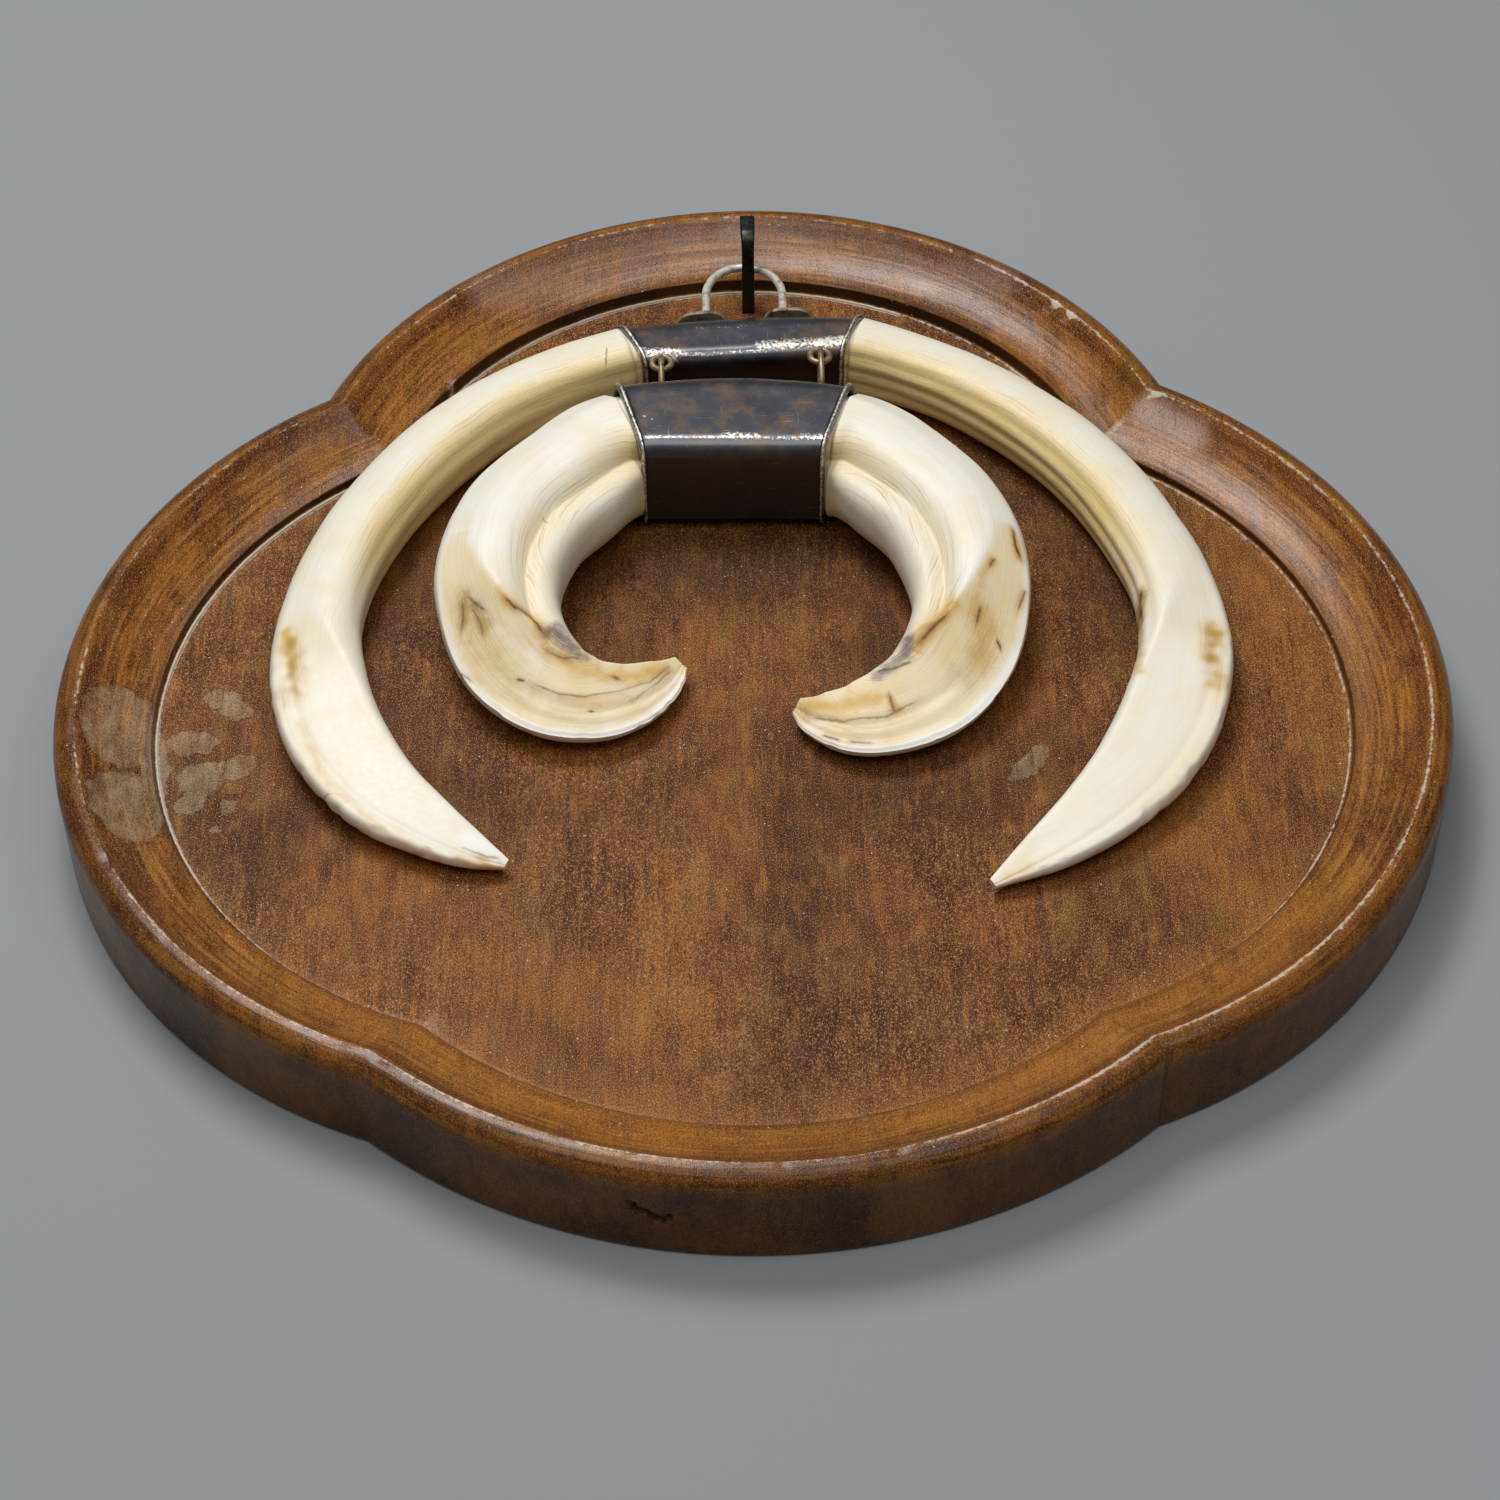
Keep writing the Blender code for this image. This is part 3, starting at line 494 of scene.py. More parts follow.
def boardProfile():
    # inset, height and share of the lip's sinking, from the back up the wall and over the rim to the field
    b = board
    profile = [(b["backRadius"], 0.0, 0), (b["backRadius"] * 0.3, b["backRadius"] * 0.3, 0)]
    wallTop = b["thickness"] - b["edgeRadius"]
    profile += [(0.0, z, 0) for z in np.linspace(b["backRadius"], wallTop, b["wallRows"])]
    for a in np.radians(np.linspace(8, 90, b["edgeRows"])):
        profile.append((b["edgeRadius"] * (1 - math.cos(a)), wallTop + b["edgeRadius"] * math.sin(a), 0))
    for t in np.linspace(0, 1, b["coveRows"])[:-1]:
        inward = b["coveStart"] + (b["coveEnd"] - b["coveStart"]) * t
        fall = (b["thickness"] - b["lipHeight"]) * (1 - t) ** 2
        profile.append((inward, b["lipHeight"] + fall, t ** 1.5))
    # the lip, the step and the field, with their edges broken
    end, step, draft = b["coveEnd"], b["stepWidth"], b["draft"]
    profile += [(end - 0.25, b["lipHeight"] + 0.02, 1), (end, b["lipHeight"] - 0.2, 1),
                (end + draft * 0.5, b["lipHeight"] - 1.2, 0.7), (end + draft, b["stepHeight"] + 0.25, 0),
                (end + draft + 0.2, b["stepHeight"], 0), (end + step * 0.75, b["stepHeight"], 0),
                (end + step, b["stepHeight"] - 0.15, 0), (end + step + draft * 0.6, b["field"] + 0.15, 0),
                (end + step + draft + 0.15, b["field"], 0), (end + step + draft + 0.7, b["field"], 0)]
    return profile


def makeBoard(material):
    b = board
    rings, insets, sinks = [], [], []
    for inset, height, sink in boardProfile():
        outline = boardOutline(inset)
        rings.append(np.column_stack([outline, np.full(len(outline), height)]))
        insets.append(inset)
        sinks.append(sink)
    edge, edgeInset = rings[-1], insets[-1]
    for t in np.linspace(0, 1, b["fieldRings"] + 1)[1:]:
        rings.append(edge * [1 - 0.995 * t, 1 - 0.995 * t, 1.0])
        insets.append(edgeInset + 110 * t)
        sinks.append(0)
    grid = np.array(rings)
    rows, columns = grid.shape[:2]
    points = grid.reshape(-1, 3)
    inset, sink = np.repeat(insets, columns), np.repeat(sinks, columns)
    steps = np.linalg.norm(np.roll(rings[0], -1, axis=0) - rings[0], axis=1)
    around = np.tile(np.concatenate([[0], np.cumsum(steps)[:-1]]), rows)
    height = points[:, 2].copy()
    fullDrop = b["lipHeight"] - b["stepHeight"]
    points[:, 2] -= sink * (fullDrop - b["sideDrop"]) * (1 - smoothStep(points[:, 1], *b["dropFade"]))
    wave, small, fine = (roughNoise(points, *b[key][:2]) for key in ("wave", "crestDents", "ledgeDents"))
    onTop = height > b["stepHeight"] - 1.0
    onRim = height > 20
    crest = hump(inset, b["crestInset"], 1.6) * onRim
    stepEdge = hump(inset, b["coveEnd"], 0.6) + hump(inset, b["coveEnd"] + b["stepWidth"], 0.5)
    dents = np.maximum(0, small - b["dentFrom"]) * b["crestDents"][2] * crest
    dents += np.maximum(0, fine - b["dentFrom"]) * b["ledgeDents"][2] * stepEdge
    points[:, 2] -= np.where(onTop, dents + b["wave"][2] * (wave + 0.5) * (inset > 1), 0)
    nicks = np.zeros(len(points))
    for (x, y), radius in b["nicks"]:
        nicks += np.exp(-((points[:, 0] - x) ** 2 + (points[:, 1] - y) ** 2) / radius ** 2) * onTop
    points[:, 2] -= b["nickDepth"] * nicks * (inset < 25)
    frontWall = (points[:, 1] < -100) & (height < 21) & (inset < 0.2)
    worm = strokes(points[:, [0, 2]], [(track, b["wormWidth"], 1.0) for track in b["wormTracks"]], 4)
    points[:, 1] += b["wormDepth"] * worm * frontWall
    patchy = roughNoise(points, *b["patchSize"])
    wander = wandering(points, b["wanderSize"])

    def drawn(key, power=2, loose=0.3):
        return strokes(points[:, :2] + loose * wander, b[key], power)

    # worn: rubbed pale where hands and cloths reach, with a painted highlight along the crest; the dark mask:
    # painted shade on the drop, the lip, the wall and the crest's outer edge, painted shadows under the
    # collars and between the tusks, and the real worm tracks
    ledge = hump(inset, b["coveEnd"] + b["stepWidth"] * 0.9, 0.45)
    ledge *= 0.56 + 0.3 * (points[:, 0] < 40) + 0.3 * patchy
    ledge *= 0.45 + 0.55 * smoothStep(points[:, 1], -105.0, -60.0)
    nearEdge = smoothStep(-points[:, 1], 50.0, 110.0)
    # the crest's pale band: rubbed wax, and a painted highlight that grows towards the front
    crestRubAndHighlight = 0.44 + 0.1 * nearEdge + 0.2 * patchy + 0.12 * (points[:, 0] > 60)
    crestRubAndHighlight *= hump(inset, b["rubInset"], 0.7 + 0.2 * nearEdge) * onRim
    worn = (ledge + crestRubAndHighlight + 0.5 * nicks + drawn("rubs")) * onTop
    # painted shade: dark on the drop wall and on the lip before it, towards the foot of the outer wall, and
    # on the rounded outer edge of the crest
    onDrop = (inset >= b["coveEnd"] - 0.05) & (inset < b["coveEnd"] + 0.35) & (height < b["lipHeight"] - 0.1)
    lipShade = 0.35 * smoothStep(inset, b["coveEnd"] - 3.0, b["coveEnd"])
    lipShade *= (inset < b["coveEnd"]) * (height > b["field"] + 1)
    wall = smoothStep(22.5 - height, 0.0, 3.0) * (inset < 4.4) * 0.55
    crestTop = 0.35 * smoothStep(4.8 - inset, 0.0, 1.5) * (height > 21)
    shadeAndWormMarks = np.maximum.reduce([0.85 * onDrop, lipShade, wall, crestTop, worm * frontWall,
                               drawn("paintedShadows", loose=6.0) * onTop])
    # a dark red line just inside the crest: painted shade on its steep inner side
    redEdgeShade = (0.62 + 0.3 * patchy) * hump(inset, b["redInset"], 1.5) * (height > 19)
    attributes = {"inset": inset, "around": around, "worn": worn, "shadeAndWormMarks": shadeAndWormMarks,
                  "redEdgeShade": np.clip(redEdgeShade, 0, 1), "sheen": drawn("sheens", 3) * onTop,
                  "warm": drawn("warmth", loose=6.0) * onTop}
    skin("carvedBoard", points.reshape(rows, columns, 3), material, "plaque", ["board"],
         attributes, sharp=24)


makeBoard(stainedHardwood())
print("board made")


# Tusk: a core of dentine under enamel, rubbed smooth by hand. The eye sees a soft white body, faint
# hairlines along it, cream where the enamel is ground off and, as painted shade, on its underside and in
# its hollows, and ochre stains and cracks full of dirt

tusk = {
    "white": "F1EDE3",
    "cream": "EBD391",
    "hair": "A88A50",
    "ochre": "D6A94A",
    "halo": "A26A2C",
    "olive": "A38E4C",
    "crack": "43280F",
    "dark": "635560",
    "chalk": "FBF9F3",
    "scatter": (2.2, 1.5, 0.9),     # how far light goes into the tusk, in millimetres
    "roughness": (0.38, 0.54),
    # patterns along the tusk, in millimetres across and along, detail and roughness. Growth lines are
    # 0.1 mm wide: they are drawn at 0.4 mm so that they show
    "alongPatterns": {"hairs": ((0.4, 26), 4, 0.6), "bands": ((4, 60), 3, 0.5)},
    "evenPatterns": {"mottle": (9, 5, 0.5), "grit": (1.2, 6, 0.7)},
    "sway": (16, 3),                # size of the hairlines' swing and how far they swing
    "creamFrom": {"mottle": (0.42, 0.72, 0.26), "bands": (0.45, 0.75, 0.16)},
    "hairFrom": (0.54, 0.72, 0.9),
    "jitter": 0.9,                  # how ragged a crack is
    "haloReach": 1.5, "haloStrength": 0.8,
    "crackWidth": (0.5, 0.05),      # of a full crack, and the least
    "crackBreaks": (0.3, 0.5, 0.35),
    "bumps": [("ridges", 0.5, 0.2), ("grit", 0.25, 0.12)],
}


def polishedTusk():
    scatter = tuple(v * mm for v in tusk["scatter"])
    material, add, shader = newMaterial("hand rubbed tusk", {
        "IOR": 1.5, "Subsurface Weight": 0.1, "Subsurface Radius": scatter, "Subsurface Scale": 1.0})
    place = add("TexCoord", out="Object")
    names = ("cream", "ochre", "olive", "vein", "veinSide", "dark", "chalk", "lines", "lengthwise", "across")
    cream, ochre, olive, vein, veinSide, dark, chalk, lines, lengthwise, across = [
        add("Attribute", out="Fac", attribute_name=name) for name in names]
    unrolled = add("CombineXYZ", {0: across, 1: lengthwise})
    swaySize, swing = tusk["sway"]
    sway = add("TexNoise", {"Vector": place, "Scale": 1 / (swaySize * mm)}, "Color")
    swayed = add("VectorMath", {0: sway, 1: (swing, 0.0, 0.0), 2: unrolled}, operation="MULTIPLY_ADD")
    noises = {}
    for name, ((wide, long), detail, rough) in tusk["alongPatterns"].items():
        cells = add("Mapping", {"Vector": swayed, "Scale": (1 / wide, 1 / long, 1.0)})
        noises[name] = add("TexNoise", {"Vector": cells, "Scale": 1.0, "Detail": detail, "Roughness": rough})
    for name, (size, detail, rough) in tusk["evenPatterns"].items():
        noises[name] = add("TexNoise", {"Vector": place, "Scale": 1 / (size * mm), "Detail": detail,
                                        "Roughness": rough})
    hairs, mottle, grit = (noises[name] for name in ("hairs", "mottle", "grit"))
    # cream: painted places plus soft clouds and bands
    creamy = cream
    for name, (low, high, strength) in tusk["creamFrom"].items():
        part = add("MapRange", {0: noises[name], 1: low, 2: high, 4: strength})
        creamy = add("Math", {0: creamy, 1: part}, operation="ADD", use_clamp=True)
    low, high, strength = tusk["hairFrom"]
    hairTone = add("MapRange", {0: hairs, 1: low, 2: high, 4: strength})
    lined = add("Math", {0: hairTone, 1: lines}, operation="MULTIPLY")
    masks = [(creamy, tusk["cream"]), (lined, tusk["hair"]), (chalk, tusk["chalk"])]
    # stains: the painted masks, broken up by the grit and the hairlines
    blend = add("Math", {0: mottle, 1: hairs}, operation="ADD")
    streaky = add("Math", {0: grit, 1: hairs}, operation="ADD")
    for mask, pattern, low, high, name in ((ochre, blend, 0.75, 1.85, "ochre"),
                                           (olive, streaky, 0.95, 1.9, "olive"),
                                           (dark, streaky, 1.2, 1.85, "dark")):
        raised = add("Math", {0: pattern, 1: mask}, operation="ADD")
        grown = add("MapRange", {0: raised, 1: low, 2: high})
        masks.append((add("Math", {0: grown, 1: mask}, **product), tusk[name]))
    # cracks: a thin uneven line where the distance from the drawn one is nought, in a brown halo
    jitter = add("Math", {0: grit, 1: tusk["jitter"], 2: -tusk["jitter"] / 2}, operation="MULTIPLY_ADD")
    offLine = add("Math", {0: veinSide, 1: jitter}, operation="ADD")
    distance = add("Math", {0: offLine}, operation="ABSOLUTE")
    halo = add("MapRange", {0: distance, 1: tusk["haloReach"], 2: 0.0}, interpolation_type="SMOOTHSTEP")
    haloed = add("Math", {0: halo, 1: ochre}, operation="MULTIPLY")
    masks.append((add("Math", {0: haloed, 1: tusk["haloStrength"]}, **product), tusk["halo"]))
    widest, least = tusk["crackWidth"]
    breadth = add("Math", {0: vein, 1: widest, 2: least}, operation="MULTIPLY_ADD")
    thin = add("MapRange", {0: distance, 1: breadth, 2: 0.0})
    low, high, faintest = tusk["crackBreaks"]
    broken = add("MapRange", {0: mottle, 1: low, 2: high, 3: faintest})
    core = add("Math", {0: thin, 1: broken}, operation="MULTIPLY")
    masks.append((add("Math", {0: core, 1: vein}, **product), tusk["crack"]))
    noises["ridges"] = add("Math", {0: hairs, 1: lines}, operation="MULTIPLY")
    smooth, rough = tusk["roughness"]
    plugIn(shader, {
        "Base Color": layeredColour(add, tusk["white"], masks),
        "Roughness": add("MapRange", {0: grit, 1: 0.3, 2: 0.7, 3: smooth, 4: rough}),
        "Normal": stackedBumps(add, [(noises[name], *bump) for name, *bump in tusk["bumps"]]),
    })
    return material


# The collars' sizes, which the roots of the tusks follow too
collars = {
    "outer": {"middle": (-0.7, 97.8), "turn": 2.4, "halfLength": 28.2, "splay": 20, "halfDepth": 9.2,
              "halfHeight": 9, "frontCorner": 3.6, "backCorner": 8.2, "sag": 2},
    "inner": {"middle": (-3.2, 60.1), "turn": -1.5, "halfLength": 25.6, "splay": 14.7, "halfDepth": 14.6,
              "halfHeight": 13.3, "frontCorner": 4.6, "backCorner": 8, "sag": 3.4},
}
collarMake = {
    "sheet": 0.9, "rimOut": 0.9, "rimLength": 1.5, "gap": 0.3,
    "cornerSteps": 12, "flatSteps": 13, "bodySteps": 70,
    "rimShape": [(0, 0.25), (0.08, 0.7), (0.25, 0.95), (0.5, 1), (0.72, 0.85), (0.88, 0.4), (1, 0.05),
                 (1.15, 0)],
    "dents": [(11, 4.4, 0.22), (3, 1.4, 0.05)],     # size and offset of the noise, and depth
    "rimRub": 0.66,
}


def collarLevel(spec):
    return board["field"] + collarMake["gap"] + collarMake["rimOut"] + spec["halfHeight"]


def toBoard(spec, x, y):
    # a place beside a collar's middle, turned and moved to where the collar lies
    mx, my = spec["middle"]
    turn = math.radians(spec["turn"])
    return mx + x * np.cos(turn) - y * np.sin(turn), my + x * np.sin(turn) + y * np.cos(turn)


# Each tusk: rows from its collar to the tip (x, y, height, half width, half height) and its marks,
# drawn as lines on the board's plane (points, width, strength)
tusks = {
    "outerLeft": {
        "node": "outer_tusk_left", "collar": "outer", "side": -1, "body": "plaque",
        "rows": [(-45, 90, 23.6, 8.8, 8.2), (-62, 79.2, 23.2, 9.3, 8.3), (-76.5, 64.2, 22.9, 9.5, 8.3),
                 (-88, 46.5, 22.8, 9.5, 8.2), (-96, 28, 22.7, 9.5, 8.1), (-100.2, 9, 22.6, 9.8, 7.9),
                 (-99.9, -9.2, 22.2, 11.1, 7.5), (-94.6, -27.6, 21.6, 11.5, 6.9),
                 (-85, -43.2, 20.7, 10.3, 5.9), (-73, -53.6, 19.6, 7.6, 4.6), (-63, -60, 18.4, 4.5, 3.2),
                 (-55.6, -63.4, 17.4, 1.2, 1.3)],
        # along from and to, angle, width and depth of each flute on the inner flank
        "flutes": [(0.04, 0.5, 150, 12, 0.05), (0.1, 0.5, 188, 12, 0.035)],
        "ochre": [([(-107.2, 0), (-105.6, -9), (-104.8, -18)], 2, 0.8),
                  ([(-103, -26), (-96.6, -43), (-84, -56), (-70, -63.5)], 0.9, 0.5),
                  ([(-66, -64.6), (-57.5, -65)], 1.4, 0.8)],
        "olive": [([(-106.6, -4), (-105.2, -11), (-106.4, -19)], 2.2, 0.6)],
        "vein": [([(-66, -60.5), (-60, -62.6), (-57, -62.4)], 0.7),
                 ([(-34.2, 91.5), (-34.4, 87.5)], 0.7), ([(-97, -46.4), (-95.6, -46.6)], 0.5)],
        "dark": [],
        "chalk": [([(-64, -58.5), (-57, -62)], 1.8, 0.9), ([(-97, -20), (-86, -42), (-72, -54)], 6, 0.35)],
    },
    "outerRight": {
        "node": "outer_tusk_right", "collar": "outer", "side": 1, "body": "plaque",
        "rows": [(41, 92.9, 23.6, 8.8, 8.2), (57, 83.1, 23.2, 9.3, 8.3), (71.5, 69.8, 22.9, 9.6, 8.3),
                 (84, 53, 22.8, 9.7, 8.2), (93.2, 33.5, 22.7, 9.8, 8.1), (99, 14, 22.6, 10, 7.9),
                 (100, -5, 22.2, 10.9, 7.6), (95.3, -24, 21.7, 11.7, 7), (87, -40.2, 21, 11, 6.2),
                 (75.7, -53.4, 20, 8.7, 5.2), (63.6, -63.3, 18.8, 5.7, 3.8), (51.6, -71.6, 17.4, 1.2, 1.3)],
        "flutes": [(0.03, 0.56, 142, 9, 0.055), (0.03, 0.54, 168, 8, 0.06), (0.08, 0.5, 196, 9, 0.05)],
        "ochre": [([(107.2, -3), (106, -11), (105.6, -19)], 2, 0.8),
                  ([(90.6, 10), (89.4, 2), (88.5, -16)], 1.2, 0.6), ([(60, -68.5), (53, -72)], 0.9, 0.6),
                  ([(84, 32), (89, 12)], 2, 0.4)],
        "olive": [([(106.8, -5), (105.6, -12), (106.2, -18)], 2.2, 0.6), ([(91, 8), (90, 1)], 1.2, 0.8)],
        "vein": [([(91.4, 9.5), (90.6, 6), (90.9, 2)], 0.8)],
        "dark": [([(92, 8), (91, 5)], 0.8, 0.5)],
        "chalk": [([(97, -12), (88, -40), (70, -58)], 6, 0.35)],
    },
    "innerLeft": {
        "node": "inner_tusk_left", "collar": "inner", "side": -1, "body": "inner_pair",
        "rows": [(-34.5, 55.8, 28.3, 14.3, 13), (-42.8, 47, 27.9, 16.1, 12.8), (-53, 35, 27.5, 16.2, 12.4),
                 (-58.5, 19.3, 27, 15.5, 12), (-58.4, 4.8, 26, 14.2, 11), (-53.8, -7.6, 24.8, 13.5, 9.8),
                 (-45.8, -15.7, 23.4, 12.3, 8.6), (-36.6, -17.9, 22, 10.9, 7.2), (-28, -15.4, 20.8, 8.6, 5.8),
                 (-20.8, -9.6, 19.6, 5.3, 4.2), (-16.8, -3.8, 18.6, 2, 2.2)],
        "ochre": [([(-57.5, 3.5), (-54.4, 0.1), (-51.1, -1.2), (-47.6, -6)], 1.5, 0.85),
                  ([(-62, 2), (-58, -4), (-50, -9.8), (-44, -12.2)], 2, 0.45),
                  ([(-47.5, -8.8), (-40.8, -12.2), (-33.3, -13), (-27.2, -11.8), (-21, -7.4)], 1.7, 0.85),
                  ([(-44, -19.5), (-36, -20.2), (-29, -17.6)], 1.2, 0.5),
                  ([(-31, -24.5), (-24, -19.5), (-18.5, -10)], 1.4, 0.5),
                  ([(-66.5, -9), (-60, -17.5), (-52, -23)], 2.6, 0.35), ([(-66, 4), (-62, -8)], 5, 0.5),
                  ([(-62, -12), (-54, -20), (-44, -24)], 4, 0.4)],
        "olive": [([(-66.6, 5.6), (-66.6, -0.5)], 1.7, 0.85), ([(-64, 2.5), (-61.6, -2.4)], 2.2, 0.8),
                  ([(-63.4, -4), (-58.6, -11.5), (-52, -17)], 4.4, 0.5),
                  ([(-46, -23), (-36, -24.5)], 3, 0.35)],
        "vein": [([(-56.9, 2.4), (-54.4, -0.1), (-51.1, -1.4), (-47.9, -5.7)], 0.95),
                 ([(-65.8, 5.4), (-64, 3.2), (-61.4, 0.6)], 0.8),
                 ([(-66.8, 4.2), (-66.6, 0.6), (-67.2, -3)], 0.6),
                 ([(-64.6, 2.2), (-62.6, -1.6), (-61.8, -4.6)], 0.6), ([(-53.7, -14.9), (-52.6, -15.1)], 1),
                 ([(-52, -15.3), (-49, -16.6), (-44.3, -18.6), (-38.8, -18.9), (-30.6, -16.4), (-23.7, -12.3),
                   (-19.4, -6.6)], 0.62),
                 ([(-27.6, -18.2), (-25.1, -15.4), (-22.2, -12.2), (-18.7, -7.2)], 0.6),
                 ([(-67.4, -11.6), (-64.8, -14)], 0.6), ([(-31.7, -13.1), (-31.2, -13.2)], 1),
                 ([(-37.4, -21.9), (-37, -21.9)], 1), ([(-46.8, -9), (-43.6, -10.4), (-39.6, -10)], 0.6),
                 ([(-48.2, 27.9), (-47.8, 27.6)], 0.7)],
        "dark": [([(-46.6, -5.6), (-44.6, -3.8)], 1.6, 0.85), ([(-44.8, -5.4), (-41.4, -8)], 2, 0.9),
                 ([(-42, -8.6), (-38.4, -9.6)], 1.2, 0.8)],
        "chalk": [([(-69.5, -9), (-62, -20.8), (-50.4, -28.5), (-36, -29.3), (-23.5, -22), (-16.5, -9.5)],
                   1.3, 0.8),
                  ([(-62.6, 3), (-58, -4.6), (-49, -11.4)], 0.8, 0.6)],
        "furrows": [(0.36, 0.13, 0.09), (0.68, 0.1, 0.06)],
    },
    "innerRight": {
        "node": "inner_tusk_right", "collar": "inner", "side": 1, "body": "inner_pair",
        "rows": [(28, 55, 28.3, 14.1, 13), (36, 46.8, 27.9, 15.6, 12.8), (45.4, 34.4, 27.5, 15.4, 12.4),
                 (50.4, 19.4, 27, 14.9, 12), (51.1, 5, 26, 13.7, 11), (47.6, -7.5, 24.8, 13.2, 9.8),
                 (40.8, -17.6, 23.4, 12.4, 8.6), (31.5, -23, 22, 11.2, 7.4), (22.5, -24.2, 20.8, 9.2, 6.2),
                 (14.8, -21.8, 19.6, 5.7, 4.6), (10, -18.2, 18.6, 2, 2.4)],
        "ochre": [([(46.2, -1.2), (41.4, -5.6), (37.7, -9.8)], 1.6, 1),
                  ([(53.2, -2.6), (54, -7.4), (52.2, -12)], 3, 0.75), ([(56.4, -7.6), (56.8, -9)], 1, 0.6),
                  ([(46, -8), (41, -16), (34, -19)], 3, 0.4), ([(56.2, 10.8), (52.6, 3.4), (51, -1)], 1, 0.7),
                  ([(61.8, 21), (62.4, 14.6)], 1.5, 0.75), ([(13, -20), (19, -22), (28, -21.4)], 1.7, 0.9),
                  ([(14, -27), (22, -30.4), (30, -31)], 1.8, 0.5), ([(10.5, -18.6), (12.6, -21.6)], 1.8, 0.5),
                  ([(63.4, 6.2), (61.6, 0.6)], 0.9, 0.5), ([(30.6, -21), (32, -24)], 1.2, 0.7)],
        "olive": [([(53, -3), (52.4, -10), (48, -16)], 3.6, 0.55), ([(11, -19), (13, -22.5)], 1.8, 0.6),
                  ([(24, -27), (36, -26)], 3, 0.35)],
        "vein": [([(45, -3.2), (41.4, -6.2), (38.4, -9)], 0.85), ([(61.6, 22.4), (62, 17.4), (63, 14)], 0.9),
                 ([(56.4, 11), (55.6, 9.6)], 0.6), ([(52.6, -1.2), (51.8, -3.8)], 0.8),
                 ([(56.6, -7.4), (56.9, -8.4)], 0.9), ([(36.9, -13.1), (32.7, -14.6), (27.9, -15.2)], 0.9),
                 ([(31.1, -21.2), (31.8, -24.2)], 0.8),
                 ([(12, -22.4), (20, -25.6), (30, -25.8), (38, -22)], 0.6), ([(63.6, 6), (62, 1.8)], 0.7),
                 ([(16, -28.4), (19, -30)], 0.8), ([(22, -31), (26, -31.8)], 0.7),
                 ([(48.5, 6.5), (46, 2)], 0.35)],
        "dark": [([(35.9, -8.6), (34.8, -11.6)], 1.5, 0.95), ([(34, -12.4), (28.4, -16.2)], 1.4, 0.85),
                 ([(10.2, -18.6), (12, -21.4)], 1.2, 0.4)],
        "chalk": [([(60.5, -10), (49, -27.5), (33.5, -34), (20, -32.5), (12.5, -26.5)], 1.3, 0.8)],
        "furrows": [(0.28, 0.13, 0.09), (0.66, 0.12, 0.05)],
    },
}

tuskForm = {
    "stations": 26,                 # between two rows
    "roundOuter": 150, "roundInner": 220,
    "rootEnds": (0.5, 0.85, 1),   # as shares of half the collar, the last one in its mouth
    "tuck": 1.02, "swell": (0.1, 0.7),      # how much slimmer a root is than its collar, and where it swells
    "rootSquareness": {"outer": 2.9, "inner": 4.2}, "rootFade": (0.17, 0.3),
    "outerSquareness": 2.3, "outerRidge": 115, "outerRise": 0.045,
    "outerWorn": (0.52, 0.7),       # where the tip is ground flat, as shares of the length
    # the ground face's level and its fall to the outside, first and last
    "outerPlane": ((1.9, 1.3), (0.74, 0.34)),
    "innerSquareness": 2.4, "grooveAngles": (158, 133), "grooveBend": 0.45, "grooveDepth": 0.27,
    "grooveWidth": (26, 9),     # of its slope on the lobe's side and on the rib's side
    "grooveEnds": (0.575, 0.635),
    "innerWorn": (0.43, 0.69),
    "innerPlane": ((2.04, 1.5), (0.74, 0.92)),
    "rimPlace": 0.9, "rimWidth": 0.055, "rimRise": 0.4,
    "bumps": [(14, 2.2, 0.2), (4, 5.5, 0.06)],  # size and offset of the noise, and depth
    "chips": (3.4, 12, 0.9), "chipFrom": 0.12,    # along the enamel's edge
    "blotchSize": (2.6, 6), "wobble": (3, 0.4), "widen": 1.5,
    "crackNear": 1.3,
}


def tuskTable(spec):
    # the rows inside the collar, then the visible ones, on one smooth curve
    collar = collars[spec["collar"]]
    rows = []
    for share in tuskForm["rootEnds"]:
        drop = 0.5 * collar["sag"] * share ** 2
        x, y = toBoard(collar, spec["side"] * share * collar["halfLength"], -drop)
        lean = collar["halfDepth"] * math.tan(math.radians(collar["splay"]) * share)
        rows.append((x, y, collarLevel(collar), math.hypot(lean, collar["halfDepth"] - drop),
                     collar["halfHeight"]))
    table = np.array(rows + spec["rows"], float)
    padded = np.vstack([2 * table[0] - table[1], table, 2 * table[-1] - table[-2]])
    fine = []
    for i in range(len(table) - 1):
        a, b, c, d = padded[i:i + 4]
        for t in np.arange(tuskForm["stations"]) / tuskForm["stations"]:
            fine.append(0.5 * (2 * b + (c - a) * t + (2 * a - 5 * b + 4 * c - d) * t * t
                               + (3 * b - 3 * c + d - a) * t ** 3))
    fine.append(table[-1])
    return np.array(fine)


def squaredEllipse(halfWidth, halfHeight, angles, power):
    c = np.abs(np.cos(angles) / halfWidth) ** power
    s = np.abs(np.sin(angles) / halfHeight) ** power
    return (c + s) ** (-1 / power)


def groundTop(u, v, halfWidth, halfHeight, worn, planes):
    # cuts the top by a plane that falls to the outside, with a small round edge instead of a crease
    (level0, fall0), (level1, fall1) = planes
    level, fall = level0 + (level1 - level0) * worn, fall0 + (fall1 - fall0) * worn
    plane = halfHeight * (level - fall * (0.5 + 0.5 * u / halfWidth))
    softness = 0.3
    cut = plane - softness * np.logaddexp(0, (plane - v) / softness)
    return cut, smoothStep(v - plane, -0.2, 0.9)


def rootedPower(along, kind, power):
    # the squared ellipse is fuller where the collar was closed round it
    form = tuskForm
    return power + (form["rootSquareness"][kind] - power) * (1 - smoothStep(along, *form["rootFade"]))


